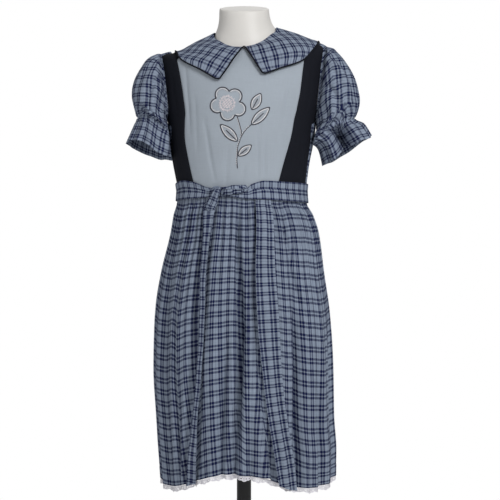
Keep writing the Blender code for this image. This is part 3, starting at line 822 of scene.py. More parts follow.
def apply_modifier(piece, kind, **settings):
    """Add a modifier and apply it."""
    modifier = piece.modifiers.new(kind.lower(), kind)
    for name, value in settings.items():
        setattr(modifier, name, value)
    only(piece)
    bpy.ops.object.modifier_apply(modifier=modifier.name)


def cloth_piece(name, points, weave, material, thick, nodes=(), closed=False):
    """A cloth shell through a grid of outer points, with its thickness inside."""
    rows, count = points.shape[:2]
    faces, corners = grid_faces(rows, count, closed)
    places = weave.reshape(-1, 2)[corners.ravel()]
    piece = mesh_piece(name, points, faces.tolist(), places, material)
    apply_modifier(piece, "SOLIDIFY", thickness=thick, offset=-1, use_rim=True)
    return finish_piece(piece, nodes)


def closed_weave(across, up):
    """Weave places of a closed grid, with one column more than the grid, from places across and up."""
    up = np.broadcast_to(up, (len(up), np.shape(across)[-1] - 1))
    return point(across, np.append(up, up[:, :1], axis=1))


def ring_piece(name, rings, material, nodes=()):
    """A filled piece through rings that go up, each counter-clockwise, with its ends closed."""
    rings = np.asarray(rings)
    rows, count = rings.shape[:2]
    faces, corners = grid_faces(rows, count, True)
    around = lengths(rings, 1)
    around = np.append(around, around[:, -1:], axis=1)
    around[:, -1] += np.linalg.norm(rings[:, 0] - rings[:, -1], axis=-1)
    up = np.repeat(lengths(rings, 0)[:, :1], count + 1, axis=1)
    weave = point(up, around)
    places = weave.reshape(-1, 2)[corners.ravel()]
    ends = [list(range(count))[::-1], list(range((rows - 1) * count, rows * count))]
    cap = np.concatenate((weave[0, :count][::-1], weave[-1, :count]))
    piece = mesh_piece(name, rings, faces.tolist() + ends, np.concatenate((places, cap)), material)
    return finish_piece(piece, nodes)


def upright(rings):
    """The same rings, each counter-clockwise seen from above."""
    x, y = rings[0][:, 0], rings[0][:, 1]
    turned = np.sum(x * np.roll(y, -1) - y * np.roll(x, -1)) < 0
    return [ring[::-1] for ring in rings] if turned else rings


CORD_TAPER = 0.94
CORD_TIP = 0.03
CORD_RISE = 0.6
CORD_WEAVE = 0.003


class Threads:
    """Many short cords that become one piece."""

    def __init__(self, sides=6):
        self.sides = sides
        self.points, self.faces, self.weave = [], [], []

    def lay(self, path, normals, half_width, half_height, taper=False):
        """A cord along a path, flattened on the cloth under it."""
        path, normals = np.asarray(path, float), np.asarray(normals, float)
        along = np.gradient(path, axis=0)
        along /= np.linalg.norm(along, axis=1, keepdims=True) + 1e-12
        side = np.cross(normals, along)
        side /= np.linalg.norm(side, axis=1, keepdims=True) + 1e-12
        turns = 2 * np.pi * np.arange(self.sides) / self.sides
        size = np.ones((len(path), 1))
        if taper:
            run = np.linspace(-CORD_TAPER, CORD_TAPER, len(path))[:, None]
            size = np.sqrt(np.clip(1 - run ** 2, CORD_TIP, 1))
        start = sum(len(part) for part in self.points)
        ring = (path[:, None] + (side * (size * half_width))[:, None] * np.cos(turns)[None, :, None]
                + (normals * (size * half_height))[:, None] * (np.sin(turns) + CORD_RISE)[None, :, None])
        self.points.append(ring.reshape(-1, 3))
        faces, corners = grid_faces(len(path), self.sides, True, start)
        run = lengths(path[None], 1)[0]
        turn = np.linspace(0, CORD_WEAVE, self.sides + 1)
        places = np.stack(np.meshgrid(run, turn, indexing="ij"), axis=-1)
        last = start + (len(path) - 1) * self.sides
        ends = [list(range(start, start + self.sides))[::-1], list(range(last, last + self.sides))]
        self.faces += faces.tolist() + ends
        self.weave += [places.reshape(-1, 2)[corners.ravel()], np.zeros((2 * self.sides, 2))]

    def piece(self, name, material, slot):
        points, weave = np.concatenate(self.points), np.concatenate(self.weave)
        return finish_piece(mesh_piece(name, points, self.faces, weave, material), smooth=80)


class Surface:
    """The outer face of a finished piece, to lay sewing on."""

    ahead = -0.4

    def __init__(self, piece):
        mesh = piece.data
        self.tree = BVHTree.FromPolygons([v.co for v in mesh.vertices], [p.vertices for p in mesh.polygons])

    def front(self, x, z):
        """Points and normals of the face that looks forward, at places x and z."""
        points, normals = [], []
        for one_x, one_z in zip(np.ravel(x), np.ravel(z)):
            hit, normal = self.tree.ray_cast(Vector((one_x, self.ahead, one_z)), Vector((0, 1, 0)))[:2]
            if hit is None:
                raise RuntimeError("A stitch lies off its panel at x %.3f, z %.3f." % (one_x, one_z))
            points.append(hit)
            normals.append(normal)
        return np.array(points), np.array(normals)


# The bodice

SHOULDER_LEVEL = 5
SEAM_EDGE = 0.12
SHOULDER_SEAM_EDGE = 0.45
SEAM_ROLL = 0.0009
SEAM_ROLL_REACH = 0.0017
BODICE_LEVELS = np.linspace(.006, 8, 140)
FRONT_COLUMNS = 120
BAND_COLUMNS = 60
BACK_COLUMNS = 84
NAVY_CONTRAST = 0.22
FRONT_CREASES = crease_table(
    (-43.5, 5.0, -44.5, 2.0, 1.6, .0013), (-30, 2.6, -23, .2, 1.7, .0018), (13.3, 2.5, 14.6, .3, 1.3, .0017),
    (19.7, 2.0, 20.5, .1, 1.4, .0017), (-10, 1.6, -14, .0, 2.2, .0010), (3, .9, 1, .0, 1.8, .0009),
    (36, 4.2, 33, 2.2, 1.8, .0008), (27, 2.2, 29, .3, 1.8, .0007), (-37, 3.8, -38, 1.2, 1.6, .0008),
)
BAND_CREASES = crease_table(
    (-66, 2.4, -60, .3, 3.0, .0012), (-74, 1.8, -80, .2, 3.5, .0014), (60, 2.3, 56, .4, 2.6, .0012),
    (70, 1.6, 66, .2, 3.0, .0012), (-60, 4.6, -58, 3.1, 2.4, .0009), (58, 4.6, 57, 3.0, 2.4, .0010),
)
BACK_CREASES = crease_table(
    (132, 1.9, 127, .2, 3.0, .0012), (-134, 2.1, -128, .2, 3.0, .0012), (158, 1.4, 161, .1, 2.6, .0010),
    (-157, 1.6, -160, .1, 2.6, .0010), (112, 2.5, 120, 1.0, 4.0, .0012), (-110, 2.6, -118, 1.1, 4.0, .0012),
)


def ordered(near, far, sign):
    """Two edges of a panel on one side of the body, in order round it."""
    return (near, far) if sign > 0 else (-far, -near)


def armhole_edge(level, edge):
    """Keep an edge angle out of the armhole at a level."""
    reach = np.clip(1 - ((level - ARMHOLE_LEVEL) / ARMHOLE_HALF_LEVEL) ** 2, 0, 1)
    return np.minimum(edge, 90 - ARMHOLE_SPREAD * np.sqrt(reach))


def bodice_panel(node, low, high, levels, count, marks, material, slot, thick, middle=None):
    """One panel of the bodice, its seamed edges rolled under."""
    spread = (1 - np.cos(np.pi * np.linspace(0, 1, count))) / 2
    angles = low[:, None] + (high - low)[:, None] * spread
    run = lengths(body_skin(angles, levels[:, None]), 1)
    near = np.minimum(run, run[:, -1:] - run)
    lift = CLOTH - SEAM_ROLL * bell(near, 0, SEAM_ROLL_REACH) - creases(marks, angles, levels[:, None])
    points = lifted(body_skin, angles, levels[:, None], lift)
    return cloth_piece(node + "_cloth", points, flat_weave(points, middle), material, thick, [node])


class DIRNDL_OT_bodice(bpy.types.Operator):
    """Make the plain front panel, the two navy bands and the two check back panels"""
    bl_idname = "dirndl.bodice"
    bl_label = "Bodice"

    def execute(self, context):
        looks = context.scene.dirndl
        thick = looks.thickness
        gap = math.degrees(SEAM_GAP / 2 / BODY["front"][0])
        levels = BODICE_LEVELS
        edge = np.where(levels > SHOULDER_LEVEL, SHOULDER_SEAM_EDGE, SEAM_EDGE)
        left = np.maximum(read(SEAMS, "left_inner", levels) + edge, -90 + gap)
        right = np.minimum(read(SEAMS, "right_inner", levels) - edge, 90 - gap)
        plain = plain_cotton("plain_cotton", tuple(looks.plain), looks)
        navy = plain_cotton("navy_cotton", tuple(looks.navy), looks, NAVY_CONTRAST)
        check = check_cotton("bodice_check", looks)
        front = bodice_panel("bodice_front", left, right, levels, FRONT_COLUMNS, FRONT_CREASES, plain,
                             "plain_cotton", thick)
        below = levels < ARMHOLE_LEVEL - ARMHOLE_HALF_LEVEL
        rows = levels <= BAND_TOP_LEVEL
        for side, sign in SIDES:
            seam = np.abs(read(SEAMS, side + "_outer", levels))
            ahead = np.where(below, seam, armhole_edge(levels, 90 - gap)) - SEAM_EDGE * below
            behind = np.where(below, seam, 180 - armhole_edge(levels, 90 - gap)) + SEAM_EDGE * below
            inner = np.abs(read(SEAMS, side + "_inner", levels)) + edge
            band = ordered(inner[rows], ahead[rows], sign)
            piece = bodice_panel("bodice_side_" + side, *band, levels[rows], BAND_COLUMNS, BAND_CREASES,
                                 navy, "navy_cotton", thick)
            back = ordered(behind, np.full(len(behind), 180 - gap), sign)
            piece = bodice_panel("bodice_back_" + side, *back, levels, BACK_COLUMNS, BACK_CREASES, check,
                                 "check_cotton", thick, 0 if sign < 0 else BACK_COLUMNS - 1)
        return {"FINISHED"}


# The collar

COLLAR_ROWS = 26
CORNER_COLUMNS = 14
MIDDLE_COLUMNS = 114
MIDDLE_START = 0.04
COLLAR_WALL = 0.0012
# Half size of the navy cord round the collar's free edge. It is partly real piping and partly painted shade:
# the cord is thicker than the piping, so its dark colour also stands in for the shadow under the collar's
# edge.
PIPING_AND_SHADE_SIZE = 0.0014
PIPING_DEPTH = 0.0008
OUT_STEP = 0.001
FINE_CORNER = 0.035
FINE_ROUNDING = 0.036
STRAIGHT_FRONT = 0.14
COLLAR_GRAIN = {"left": 3.0, "right": -8.0}
COLLAR_RIPPLE = 0.0004
COLLAR_STAND = {"left": 0.0070, "right": 0.0018}
STAND_PLACE = (116, 34)
COLLAR_FALL = 3.0
COLLAR_SETTLE = {"left": 0.70, "right": 0.45}
SETTLE_PLACE = (96, 36)


def collar_half(side):
    """The places of one collar half: rows from outer edge to neckline, columns from front to back."""
    corner = FINE_CORNER * np.linspace(0, 1, CORNER_COLUMNS) ** 1.6
    middle = np.linspace(MIDDLE_START, 1 - MIDDLE_START, MIDDLE_COLUMNS)
    shares = np.concatenate((corner, middle, 1 - corner[::-1]))
    neck, angle, level = read(COLLARS[side], "neck_angle edge_angle edge_level", shares)
    near = np.clip(np.minimum(shares, 1 - shares) / FINE_CORNER, 0, 1)
    rounding = FINE_ROUNDING * (1 - np.sqrt(np.clip(1 - (1 - near) ** 2, 0, 1)))
    reach = np.linspace(1, 0, COLLAR_ROWS)[:, None] * (1 - rounding)[None, :]
    angle = neck + (angle - neck) * reach
    level = NECKLINE_LEVEL + (level - NECKLINE_LEVEL) * reach
    x, _, z = np.moveaxis(body_skin(angle, level), -1, 0)
    run = (z - z[-1]) / (z[0] - z[-1])
    shift, half_width = read(BODY, "shift half_width", level)
    out = (x[-1] + (x[0] - x[-1]) * run - shift) / half_width
    straight = np.degrees(np.arcsin(np.clip(out, -.99, .99)))
    return angle + (straight - angle) * bell(shares, 0, STRAIGHT_FRONT), level, reach


def free_edge(points):
    """The free sides of a collar half, from neckline to neckline."""
    return np.concatenate((points[1:, 0][::-1], points[0], points[1:, -1]))


def meet(first, second, first_reach, second_reach):
    """The flat point at two distances from two others, on the left of the way between them."""
    along = second - first
    gap = np.linalg.norm(along)
    run = (first_reach ** 2 - second_reach ** 2 + gap ** 2) / (2 * gap)
    rise = math.sqrt(max(first_reach ** 2 - run ** 2, 0))
    return first + along / gap * run + np.array((-along[1], along[0])) / gap * rise


def flat_strip(near, far):
    """Flat places of the cloth between two edges, each a row of points in space."""
    def reach(one, other):
        return float(np.linalg.norm(one - other))

    flat_near, flat_far = [np.zeros(2)], [np.array((reach(near[0], far[0]), 0.0))]
    for index in range(len(near) - 1):
        start, end = near[index + 1], far[index + 1]
        sizes = reach(near[index], start), reach(far[index], start)
        flat_near.append(meet(flat_near[-1], flat_far[-1], *sizes))
        flat_far.append(meet(flat_near[-1], flat_far[-1], reach(start, end), reach(far[index], end)))
    return np.array(flat_near), np.array(flat_far)


class DIRNDL_OT_collar(bpy.types.Operator):
    """Make the two flat collar halves with their navy edge cords, thickened as painted shade under the edges
    """
    bl_idname = "dirndl.collar"
    bl_label = "Collar"

    def execute(self, context):
        looks = context.scene.dirndl
        check = check_cotton("collar_check", looks, sideways=True, strengths=(.70, .62))
        navy = plain_cotton("collar_navy", tuple(looks.navy), looks, NAVY_CONTRAST)
        for side, sign in SIDES:
            angle, level, reach = collar_half(side)
            ripple = COLLAR_RIPPLE * np.sin(np.radians(angle * 9)) * reach
            settle = 1 - COLLAR_SETTLE[side] * bell(np.abs(angle), *SETTLE_PLACE)
            spread = COLLAR_SPREAD * reach + COLLAR_ROLL * (4 * reach * (1 - reach)) ** 2
            lift = CLOTH + COLLAR_LIFT + spread * settle + CLOTH + ripple
            stand = COLLAR_STAND[side] * bell(np.abs(angle), *STAND_PLACE) * (1 - reach) ** COLLAR_FALL
            points = lifted(body_skin, angle, level, lift)
            beyond = lifted(body_skin, angle, level, lift + OUT_STEP)
            for grid in (points, beyond):
                grid[..., 2] += stand
            flat = self.flat_collar(points, math.radians(COLLAR_GRAIN[side]), sign)
            points, beyond, flat = points[:, ::sign], beyond[:, ::sign], flat[:, ::sign]
            piece = cloth_piece("collar_%s_cloth" % side, points, flat, check, COLLAR_WALL,
                                nodes=["collar_" + side])
            edge = free_edge(points)
            out = (free_edge(beyond) - edge) / OUT_STEP
            keep = np.append(True, np.linalg.norm(np.diff(edge, axis=0), axis=1) > .0006)
            threads = Threads(10)
            # The navy cord is partly piping and partly painted shade under the collar's edge.
            threads.lay((edge - out * PIPING_DEPTH)[keep], out[keep], PIPING_AND_SHADE_SIZE, PIPING_AND_SHADE_SIZE)
            threads.piece("collar_%s_edge" % side, navy, "navy_cotton")
        return {"FINISHED"}

    def flat_collar(self, points, turn, sign):
        """The curved half laid flat, and turned to its grain."""
        near, far = flat_strip(points[-1], points[0])
        run = lengths(points, 0)
        share = (1 - run / np.maximum(run[-1:], 1e-9))[..., None]
        flat = near[None] + (far - near)[None] * share
        cosine, sine = math.cos(turn), math.sin(turn)
        return flat @ np.array(((cosine, -sign * sine), (sine, sign * cosine)))


# The sleeves

SLEEVE_COLUMNS = 252
SLEEVE_STATIONS = np.concatenate((
    np.linspace(0, 5, 58), np.linspace(5.06, 6.9, 30), np.linspace(6.96, 8, 18)))
SLEEVE_CUT = 0.385
LEVEL_GRAIN = 0.85
SLEEVE_REACH = 0.232
SLEEVE_CROWN = 35
SLEEVE_VALLEY = 0.152
VALLEY_SLOPE = 0.8
RUFFLE_STRENGTH = 1.5
FLUTE_MEAN = 0.0016
FLUTE_SHARPNESS = 1.6
HEAD_PLEATS = 30
HEAD_PLEAT = 0.0022
HEAD_WANDER = 1.2
HEAD_TURN = 156
HEAD_TURN_FADE = 130
HEAD_END = 3.4
HEAD_FADE = 2.6
GATHER_PUCKERS = 38
GATHER_PUCKER = 0.0017
PUCKER_WANDER = 1.5
GATHER_REACH = 0.75
GATHER_GAP = 0.1
STITCH_LINE = 0.0014
STITCH_REACH = 0.08
PUFF_START = 0.8
PUFF_GROWTH = 1.2
PUFF_FADE = 1.1
LEVEL_FADE = 1.4
CUFF_TURN_UP = 0.012
# Waves of the ruffle, round it in degrees: how far each stands out, and how far it hangs down.
RUFFLES = both_sides(
    "turn half size drop",
    (
        (8, 15, .0042, .001), (42, 15, .0034, -.002), (78, 16, .0044, .001), (118, 16, .0034, .001),
        (156, 15, .0040, .000), (196, 16, .0036, -.001), (234, 14, .0042, .001), (266, 12, .0048, -.002),
        (294, 12, .0050, .002), (322, 12, .0040, -.001), (345, 9, .0030, .001),
    ),
    (
        (8, 10, .0040, -.001), (30, 13, .0056, .003), (56, 12, .0060, -.001), (118, 17, .0062, .003),
        (146, 12, .0036, .000), (164, 16, .0036, .001), (202, 16, .0040, -.001), (240, 16, .0036, .001),
        (280, 17, .0044, .001), (318, 15, .0036, -.001), (348, 12, .0042, .001),
    ),
)
SLEEVE_CREASES = {
    "left": crease_table(
        (288, 1.8, 250, 5.9, 7, .0062), (262, 1.2, 228, 4.0, 6, .0026), (325, 1.0, 312, 4.6, 6, .0024),
        (238, 2.4, 245, 5.8, 7, .0030), (20, 1.0, 12, 4.8, 7, .0026), (55, 1.2, 62, 5.6, 7, .0030),
        (95, 1.6, 92, 5.8, 7, .0032), (345, 3.2, 340, 5.8, 5, .0018),
    ),
    "right": crease_table(
        (60, 1.2, 74, 5.4, 6, .0030), (96, 1.4, 90, 5.9, 6, .0038), (35, 1.0, 46, 4.8, 6, .0026),
        (124, 2.4, 116, 5.8, 7, .0030), (340, 1.0, 350, 4.8, 7, .0026), (305, 1.2, 298, 5.6, 7, .0030),
        (265, 1.6, 268, 5.8, 7, .0032), (14, 3.4, 20, 5.8, 5, .0018),
    ),
}
# Soft pushes that move the surface round a place: away from the body, ahead and up.
SLEEVE_PUSHES = both_sides(
    "turn half station reach out ahead up",
    (
        (0, 38, 2.6, .6, .0020, .0, .0010), (0, 32, .3, .9, -.0180, .0, .0095),
        (0, 45, 4.0, 1.1, .0014, .0, .0), (205, 44, 5.5, 1.1, -.0180, .0030, -.0120),
        (190, 50, 7.2, 1.2, -.0060, .0, .0), (200, 38, 3.5, 1.3, -.0070, .0, .0),
        (190, 50, 6.0, 2.2, -.0095, .0, .0), (282, 36, 6.0, .8, .0, .0, .0120),
        (300, 34, 8.0, .8, .0, .0, .0048), (286, 26, 8.0, .9, .0, .0, .0075),
        (100, 48, 8.0, .8, .0, .0, -.0055), (42, 24, 8.0, .8, -.0010, .0, -.0055),
        (225, 35, 7.0, 1.8, -.0085, .0070, .0),
    ),
    (
        (0, 40, 3.2, .9, -.0022, .0, -.0016), (0, 34, .3, .9, -.0100, .0, .0105),
        (0, 28, 2.3, .32, .0034, .0, .0010), (163, 40, 2.9, 1.3, -.0135, .0, .0),
        (0, 45, 5.5, .5, .0050, .0, .0), (0, 50, 7.0, .7, .0080, .0, .0030),
        (150, 50, 5.8, 1.3, -.0090, .0040, .0), (95, 36, 6.0, .8, .0, .0, .0078),
        (142, 46, 5.4, 1.1, -.0190, .0040, -.0130), (88, 16, 6.85, .52, .0, -.0400, .0),
        (90, 15, 7.7, .7, .0, -.0420, .0), (90, 15, 8.4, .7, .0, -.0240, .0110),
        (90, 19, 6.15, .26, .0, .0080, .0010), (262, 50, 8.0, .8, .0, .0, -.0030),
    ),
)
SLEEVE_REST = 0.0036
SLEEVE_SIDE = 0.0024
SLEEVE_SOFT = 0.0005


def clear_of_body(places, weight):
    """Points of a sleeve moved out of the dress where it lies against it."""
    level = np.interp(places[..., 2], BODY["z_side"], BODY["level"])
    shift, half, front, back = read(BODY, "shift half_width front back", level)
    across = places[..., 0] - shift
    depth = np.where(places[..., 1] < 0, front, back)
    reach = np.hypot(across / (half + SLEEVE_REST), places[..., 1] / (depth + SLEEVE_REST))
    grow = 1 + (1 / np.clip(reach, .5, 1) - 1) * weight
    across = across * grow
    past = np.abs(across) - half - SLEEVE_SIDE
    beside = np.sign(across) * (half + SLEEVE_SIDE + SLEEVE_SOFT * np.logaddexp(0, past / SLEEVE_SOFT))
    across = across + (beside - across) * weight
    return point(shift + across, places[..., 1] * grow, places[..., 2])


def sleeve_skin(side, sign):
    """The sleeve's surface: round its ring in degrees from the top, along its stations."""
    table = SLEEVES[side]
    flutes = RUFFLES[side]

    def fluted(turn, name):
        total = np.zeros(np.shape(turn))
        for middle, half, size in zip(flutes["turn"], flutes["half"], flutes[name]):
            away = turned(turn - middle) / half
            total = total + size * np.exp(-away * away * FLUTE_SHARPNESS)
        return total

    def skin(turn, station):
        turn, station = np.broadcast_arrays(np.asarray(turn, float), np.asarray(station, float))
        up, ahead = np.cos(np.radians(turn)), np.sin(np.radians(turn))
        hole_angle = sign * (90 - ARMHOLE_SPREAD * ahead * sign)
        hole_level = ARMHOLE_LEVEL + ARMHOLE_HALF_LEVEL * up
        hole, normal = body_skin(hole_angle, hole_level), outward(body_skin, hole_angle, hole_level)
        rings = [hole + normal * (CLOTH + LAYER_GAP), hole + normal * (CLOTH + LAYER_GAP + SLEEVE_HEAD)]
        for top_out, top_z, bottom_out, bottom_z, half_depth, ruffle in zip(*table.values()):
            share = ruffle / max(table["ruffle"])
            wave = (fluted(turn, "size") - FLUTE_MEAN) * share * RUFFLE_STRENGTH
            drop = fluted(turn, "drop") * share
            out, z = (top_out + bottom_out) / 2, (top_z + bottom_z) / 2
            half_out, half_z = (top_out - bottom_out) / 2, (top_z - bottom_z) / 2
            half = math.hypot(half_out, half_z)
            rings.append(point(sign * (out + half_out / half * (half + wave) * up),
                               -sign * (half_depth + wave) * ahead,
                               z + half_z / half * (half + wave) * up - drop))
        rings = np.stack(rings)
        place = np.clip(station, 0, len(rings) - 1)
        below = np.clip(place.astype(int), 0, len(rings) - 2)
        t = (place - below)[..., None]

        def ring(index):
            index = np.clip(index, 0, len(rings) - 1)
            return np.take_along_axis(rings, index[None, ..., None], axis=0)[0]

        before, first, second, after = ring(below - 1), ring(below), ring(below + 1), ring(below + 2)
        places = first + t / 2 * (second - before + t * (2 * before - 5 * first + 4 * second - after
                                                         + t * (3 * (first - second) + after - before)))
        for middle, half, level, reach, out, forward, rise in zip(*SLEEVE_PUSHES[side].values()):
            away = turned(turn - middle) / half
            share = np.exp(-away * away - ((station - level) / reach) ** 2)
            places = places + share[..., None] * np.array((sign * out, -forward, rise))
        return clear_of_body(places, np.clip(station - 2, 0, 1))
    return skin


def sleeve_relief(side, turn, station):
    """Pleats at the sleeve head, puckers round the gathering and soft creases in the puff."""
    angle = np.radians(turn)
    head = fade(np.abs(turned(turn)), HEAD_TURN, HEAD_TURN_FADE) * np.clip(station, 0, 1)
    head = head * fade(station, HEAD_END, HEAD_FADE) ** 1.5
    pleats = HEAD_PLEAT * head * np.sin(HEAD_PLEATS * angle + HEAD_WANDER * np.sin(3 * angle))
    gather = bell(station, GATHER_STATION, GATHER_REACH) * (1 - bell(station, GATHER_STATION, GATHER_GAP))
    wander = PUCKER_WANDER * np.sin(4 * angle + 1)
    puckers = GATHER_PUCKER * gather * np.sin(GATHER_PUCKERS * angle + wander)
    puckers = puckers - STITCH_LINE * bell(station, GATHER_STATION, STITCH_REACH)
    return pleats + puckers - creases(SLEEVE_CREASES[side], turn % 360, station)


def sleeve_weave(points, plain, turns):
    """Places in the flat sleeve: the puff's lines hang straight, and slope beyond its inner valley."""
    stations = SLEEVE_STATIONS[:, None]
    ring = np.append(plain, plain[:, :1], axis=1)
    turns = np.append(turns, 180.0)
    around = lengths(ring[..., :2], 1)
    places = []
    for way in (-1, 1):
        side = np.searchsorted(turns, way * 90)
        reach = np.abs(ring[:, side:side + 1, 0])
        places.append(way * (SLEEVE_REACH - reach) + around - around[:, side:side + 1])
    crown = np.searchsorted(turns, (-SLEEVE_CROWN, SLEEVE_CROWN))
    low, high = places[0][:, crown[:1]], places[1][:, crown[1:]]
    hung = low + (high - low) * (turns + SLEEVE_CROWN) / (2 * SLEEVE_CROWN)
    hung = np.where(turns < -SLEEVE_CROWN, places[0], np.where(turns > SLEEVE_CROWN, places[1], hung))
    even = np.broadcast_to(turns * SLEEVE_CUT / 360, hung.shape)
    puff = ramp(stations, PUFF_START, PUFF_GROWTH) * fade(stations, GATHER_STATION, PUFF_FADE)
    down = lengths(points, 0)
    up = down[-1:] - down
    gather = np.argmin(np.abs(SLEEVE_STATIONS - GATHER_STATION))
    top = len(turns) // 2
    level = plain[..., 2] - plain[gather, top, 2] + up[gather, top]
    level = level + VALLEY_SLOPE * np.clip(SLEEVE_VALLEY - np.abs(plain[..., 0]), 0, 1)
    up = up + (level - up) * LEVEL_GRAIN * fade(stations, GATHER_STATION, LEVEL_FADE)
    return closed_weave(even + (hung - even) * puff, up)


class DIRNDL_OT_sleeves(bpy.types.Operator):
    """Make the two puffed sleeves, gathered above their ruffles"""
    bl_idname = "dirndl.sleeves"
    bl_label = "Sleeves"

    def execute(self, context):
        looks = context.scene.dirndl
        check = check_cotton("sleeve_check", looks, CUFF_TURN_UP, sideways=True)
        turns = np.arange(SLEEVE_COLUMNS) * 360 / SLEEVE_COLUMNS - 180
        for side, sign in SIDES:
            skin = sleeve_skin(side, sign)
            stations = SLEEVE_STATIONS[:, None]
            points = lifted(skin, turns, stations, CLOTH + sleeve_relief(side, turns, stations))
            weave = sleeve_weave(points, skin(turns, stations), turns)
            piece = cloth_piece("sleeve_%s_cloth" % side, points, weave, check, looks.thickness,
                                nodes=["sleeve_" + side], closed=True)
        return {"FINISHED"}


# The skirt and its lace

SKIRT_COLUMNS = 350
SKIRT_SHARES = np.concatenate((np.linspace(0, .17, 34), np.linspace(.18, .94, 62), np.linspace(.947, 1, 16)))
SKIRT_LENGTH = 0.497
HEM_TURN_UP = 0.020
SKIRT_PATTERN = 0.0057
ROUND_ANGLES = np.linspace(-92, 272, 3641)
HEM_STEP = 0.0004
HEM_EDGE = 0.0015
HEM_STITCH = 0.0003
HEM_STITCH_REACH = 0.0012
SKIRT_SEAM = 0.0009
SKIRT_SEAM_ANGLE = 0.9
# Waves of the level lines round the skirt: count, size, phase and lean.
GRAIN = ((5, .0012, .4, 1.1), (11, .0008, 2.0, -1.6), (23, .0005, 1.2, 1.5))
GRAIN_HEIGHT = 0.06
# How much lower the level lines lie at each angle of the skirt, and higher where it is below 0.
DRIFT = columns(
    "angle lower",
    (-90, .0), (-52, .0), (-45, .0092), (-39, .0060), (-35, .0033), (-30, .0), (-20, -.0030),
    (-14, -.0040), (-10, -.0058), (-5, -.0078), (-2, -.0068), (1.4, .0), (6, .0003), (25, -.0020),
    (32, -.0030), (37, .0), (41, .0045), (48, .0075), (54, .0092), (72, .0088), (90, .0060), (120, .0),
    (150, .0050), (180, .0), (215, -.0040), (250, .0040), (270, .0),
)
DRIFT_START = 0.15
DRIFT_GROWTH = 0.35
DRIFT_HEIGHT = 0.03
WEAVE_SHARE = 0.75
SKIRT_CREASES = crease_table(
    (-5.2, .10, -1.2, .54, 1.7, .0098), (-1.0, .46, -4.8, .88, 1.7, .0092), (-24, .30, -23, .62, 1.3, .0020),
    (-10.5, .52, -15.5, .90, 1.1, .0032), (22, .20, 24, .62, 1.4, .0018), (31, .10, 45, .44, 1.4, .0050),
    (38, .40, 36.5, .99, 1.5, .0072), (-48.5, .42, -49, .97, 1.2, .0044), (-56, .10, -56, .42, 1.1, .0036),
    (59, .52, 59, .99, 1.6, .0026), (8.8, .42, 14.5, 1.05, 4.5, -.0075), (-14, .02, -12, .22, .8, .0022),
    (-19, .03, -18, .20, .8, .0020), (12, .02, 9, .24, .8, .0022), (-41, .03, -38, .24, .9, .0024),
    (36, .03, 33, .16, .8, .0022), (52, .03, 55, .24, .9, .0024),
    (29, .36, 27, .80, 1.6, .0018), (47, .22, 46, .66, 1.7, .0018), (67, .30, 68, .82, 1.8, .0018),
    (-56, .30, -54, .74, 1.8, .0016), (-78, .28, -80, .86, 2.2, .0020), (89, .40, 90, .90, 2.2, .0018),
    (110, .26, 112, .70, 2.2, .0020), (132, .32, 131, .84, 2.4, .0022), (153, .24, 155, .78, 2.2, .0020),
    (174, .30, 175, .90, 2.4, .0022), (197, .26, 196, .74, 2.2, .0020), (218, .34, 217, .86, 2.4, .0022),
    (240, .24, 241, .72, 2.2, .0020), (260, .34, 262, .88, 2.2, .0020),
)
LACE_COLUMNS = 720
LACE_ROWS = 9
LACE_WALL = 0.001
LACE_CLOTH = 0.0006
LACE_GAP = 0.0007
LACE_WAVES = 61
LACE_WAVE = 0.0006
FINE_SCALLOPS = 120
FINE_SCALLOP = 0.0007


class DIRNDL_OT_skirt(bpy.types.Operator):
    """Make the gathered front and back widths of the skirt"""
    bl_idname = "dirndl.skirt"
    bl_label = "Skirt"

    def execute(self, context):
        looks = context.scene.dirndl
        check = check_cotton("skirt_check", looks, HEM_TURN_UP + SKIRT_PATTERN)
        run = lengths(folded_skirt(ROUND_ANGLES, np.full(len(ROUND_ANGLES), WEAVE_SHARE))[None], 1)[0]
        run = run - np.interp(0, ROUND_ANGLES, run)
        shares = SKIRT_SHARES[::-1, None]
        height = (1 - shares) * SKIRT_LENGTH
        hem = HEM_STEP * fade(height, HEM_TURN_UP, HEM_EDGE)
        hem = hem - HEM_STITCH * bell(height, HEM_TURN_UP, HEM_STITCH_REACH)
        gap = math.degrees(SEAM_GAP / 2 / SKIRT["right"][0])
        for name, middle in (("skirt_front", 0), ("skirt_back", 180)):
            angles = middle + np.linspace(-90 + gap, 90 - gap, SKIRT_COLUMNS)[None, :]
            edge = np.minimum(np.abs(angles - angles[0, 0]), np.abs(angles - angles[0, -1]))
            seam = SKIRT_SEAM * bell(edge, 0, SKIRT_SEAM_ANGLE)
            lift = CLOTH + hem - seam - creases(SKIRT_CREASES, (angles + 90) % 360 - 90, shares)
            points = lifted(skirt_skin, angles, shares, lift, DOWNWARD, folded_skirt)
            wander = sum(size * np.sin(count * np.radians(angles) + phase + lean * shares)
                         for count, size, phase, lean in GRAIN) * ramp(height, 0, GRAIN_HEIGHT)
            drift = read(DRIFT, "lower", angles) * ramp(shares, DRIFT_START, DRIFT_GROWTH)
            wander = wander + drift * ramp(height, 0, DRIFT_HEIGHT)
            weave = point(np.interp(angles, ROUND_ANGLES, run), height + SKIRT_PATTERN + wander)
            piece = cloth_piece(name + "_cloth", points, weave, check, looks.thickness, nodes=[name])
        return {"FINISHED"}


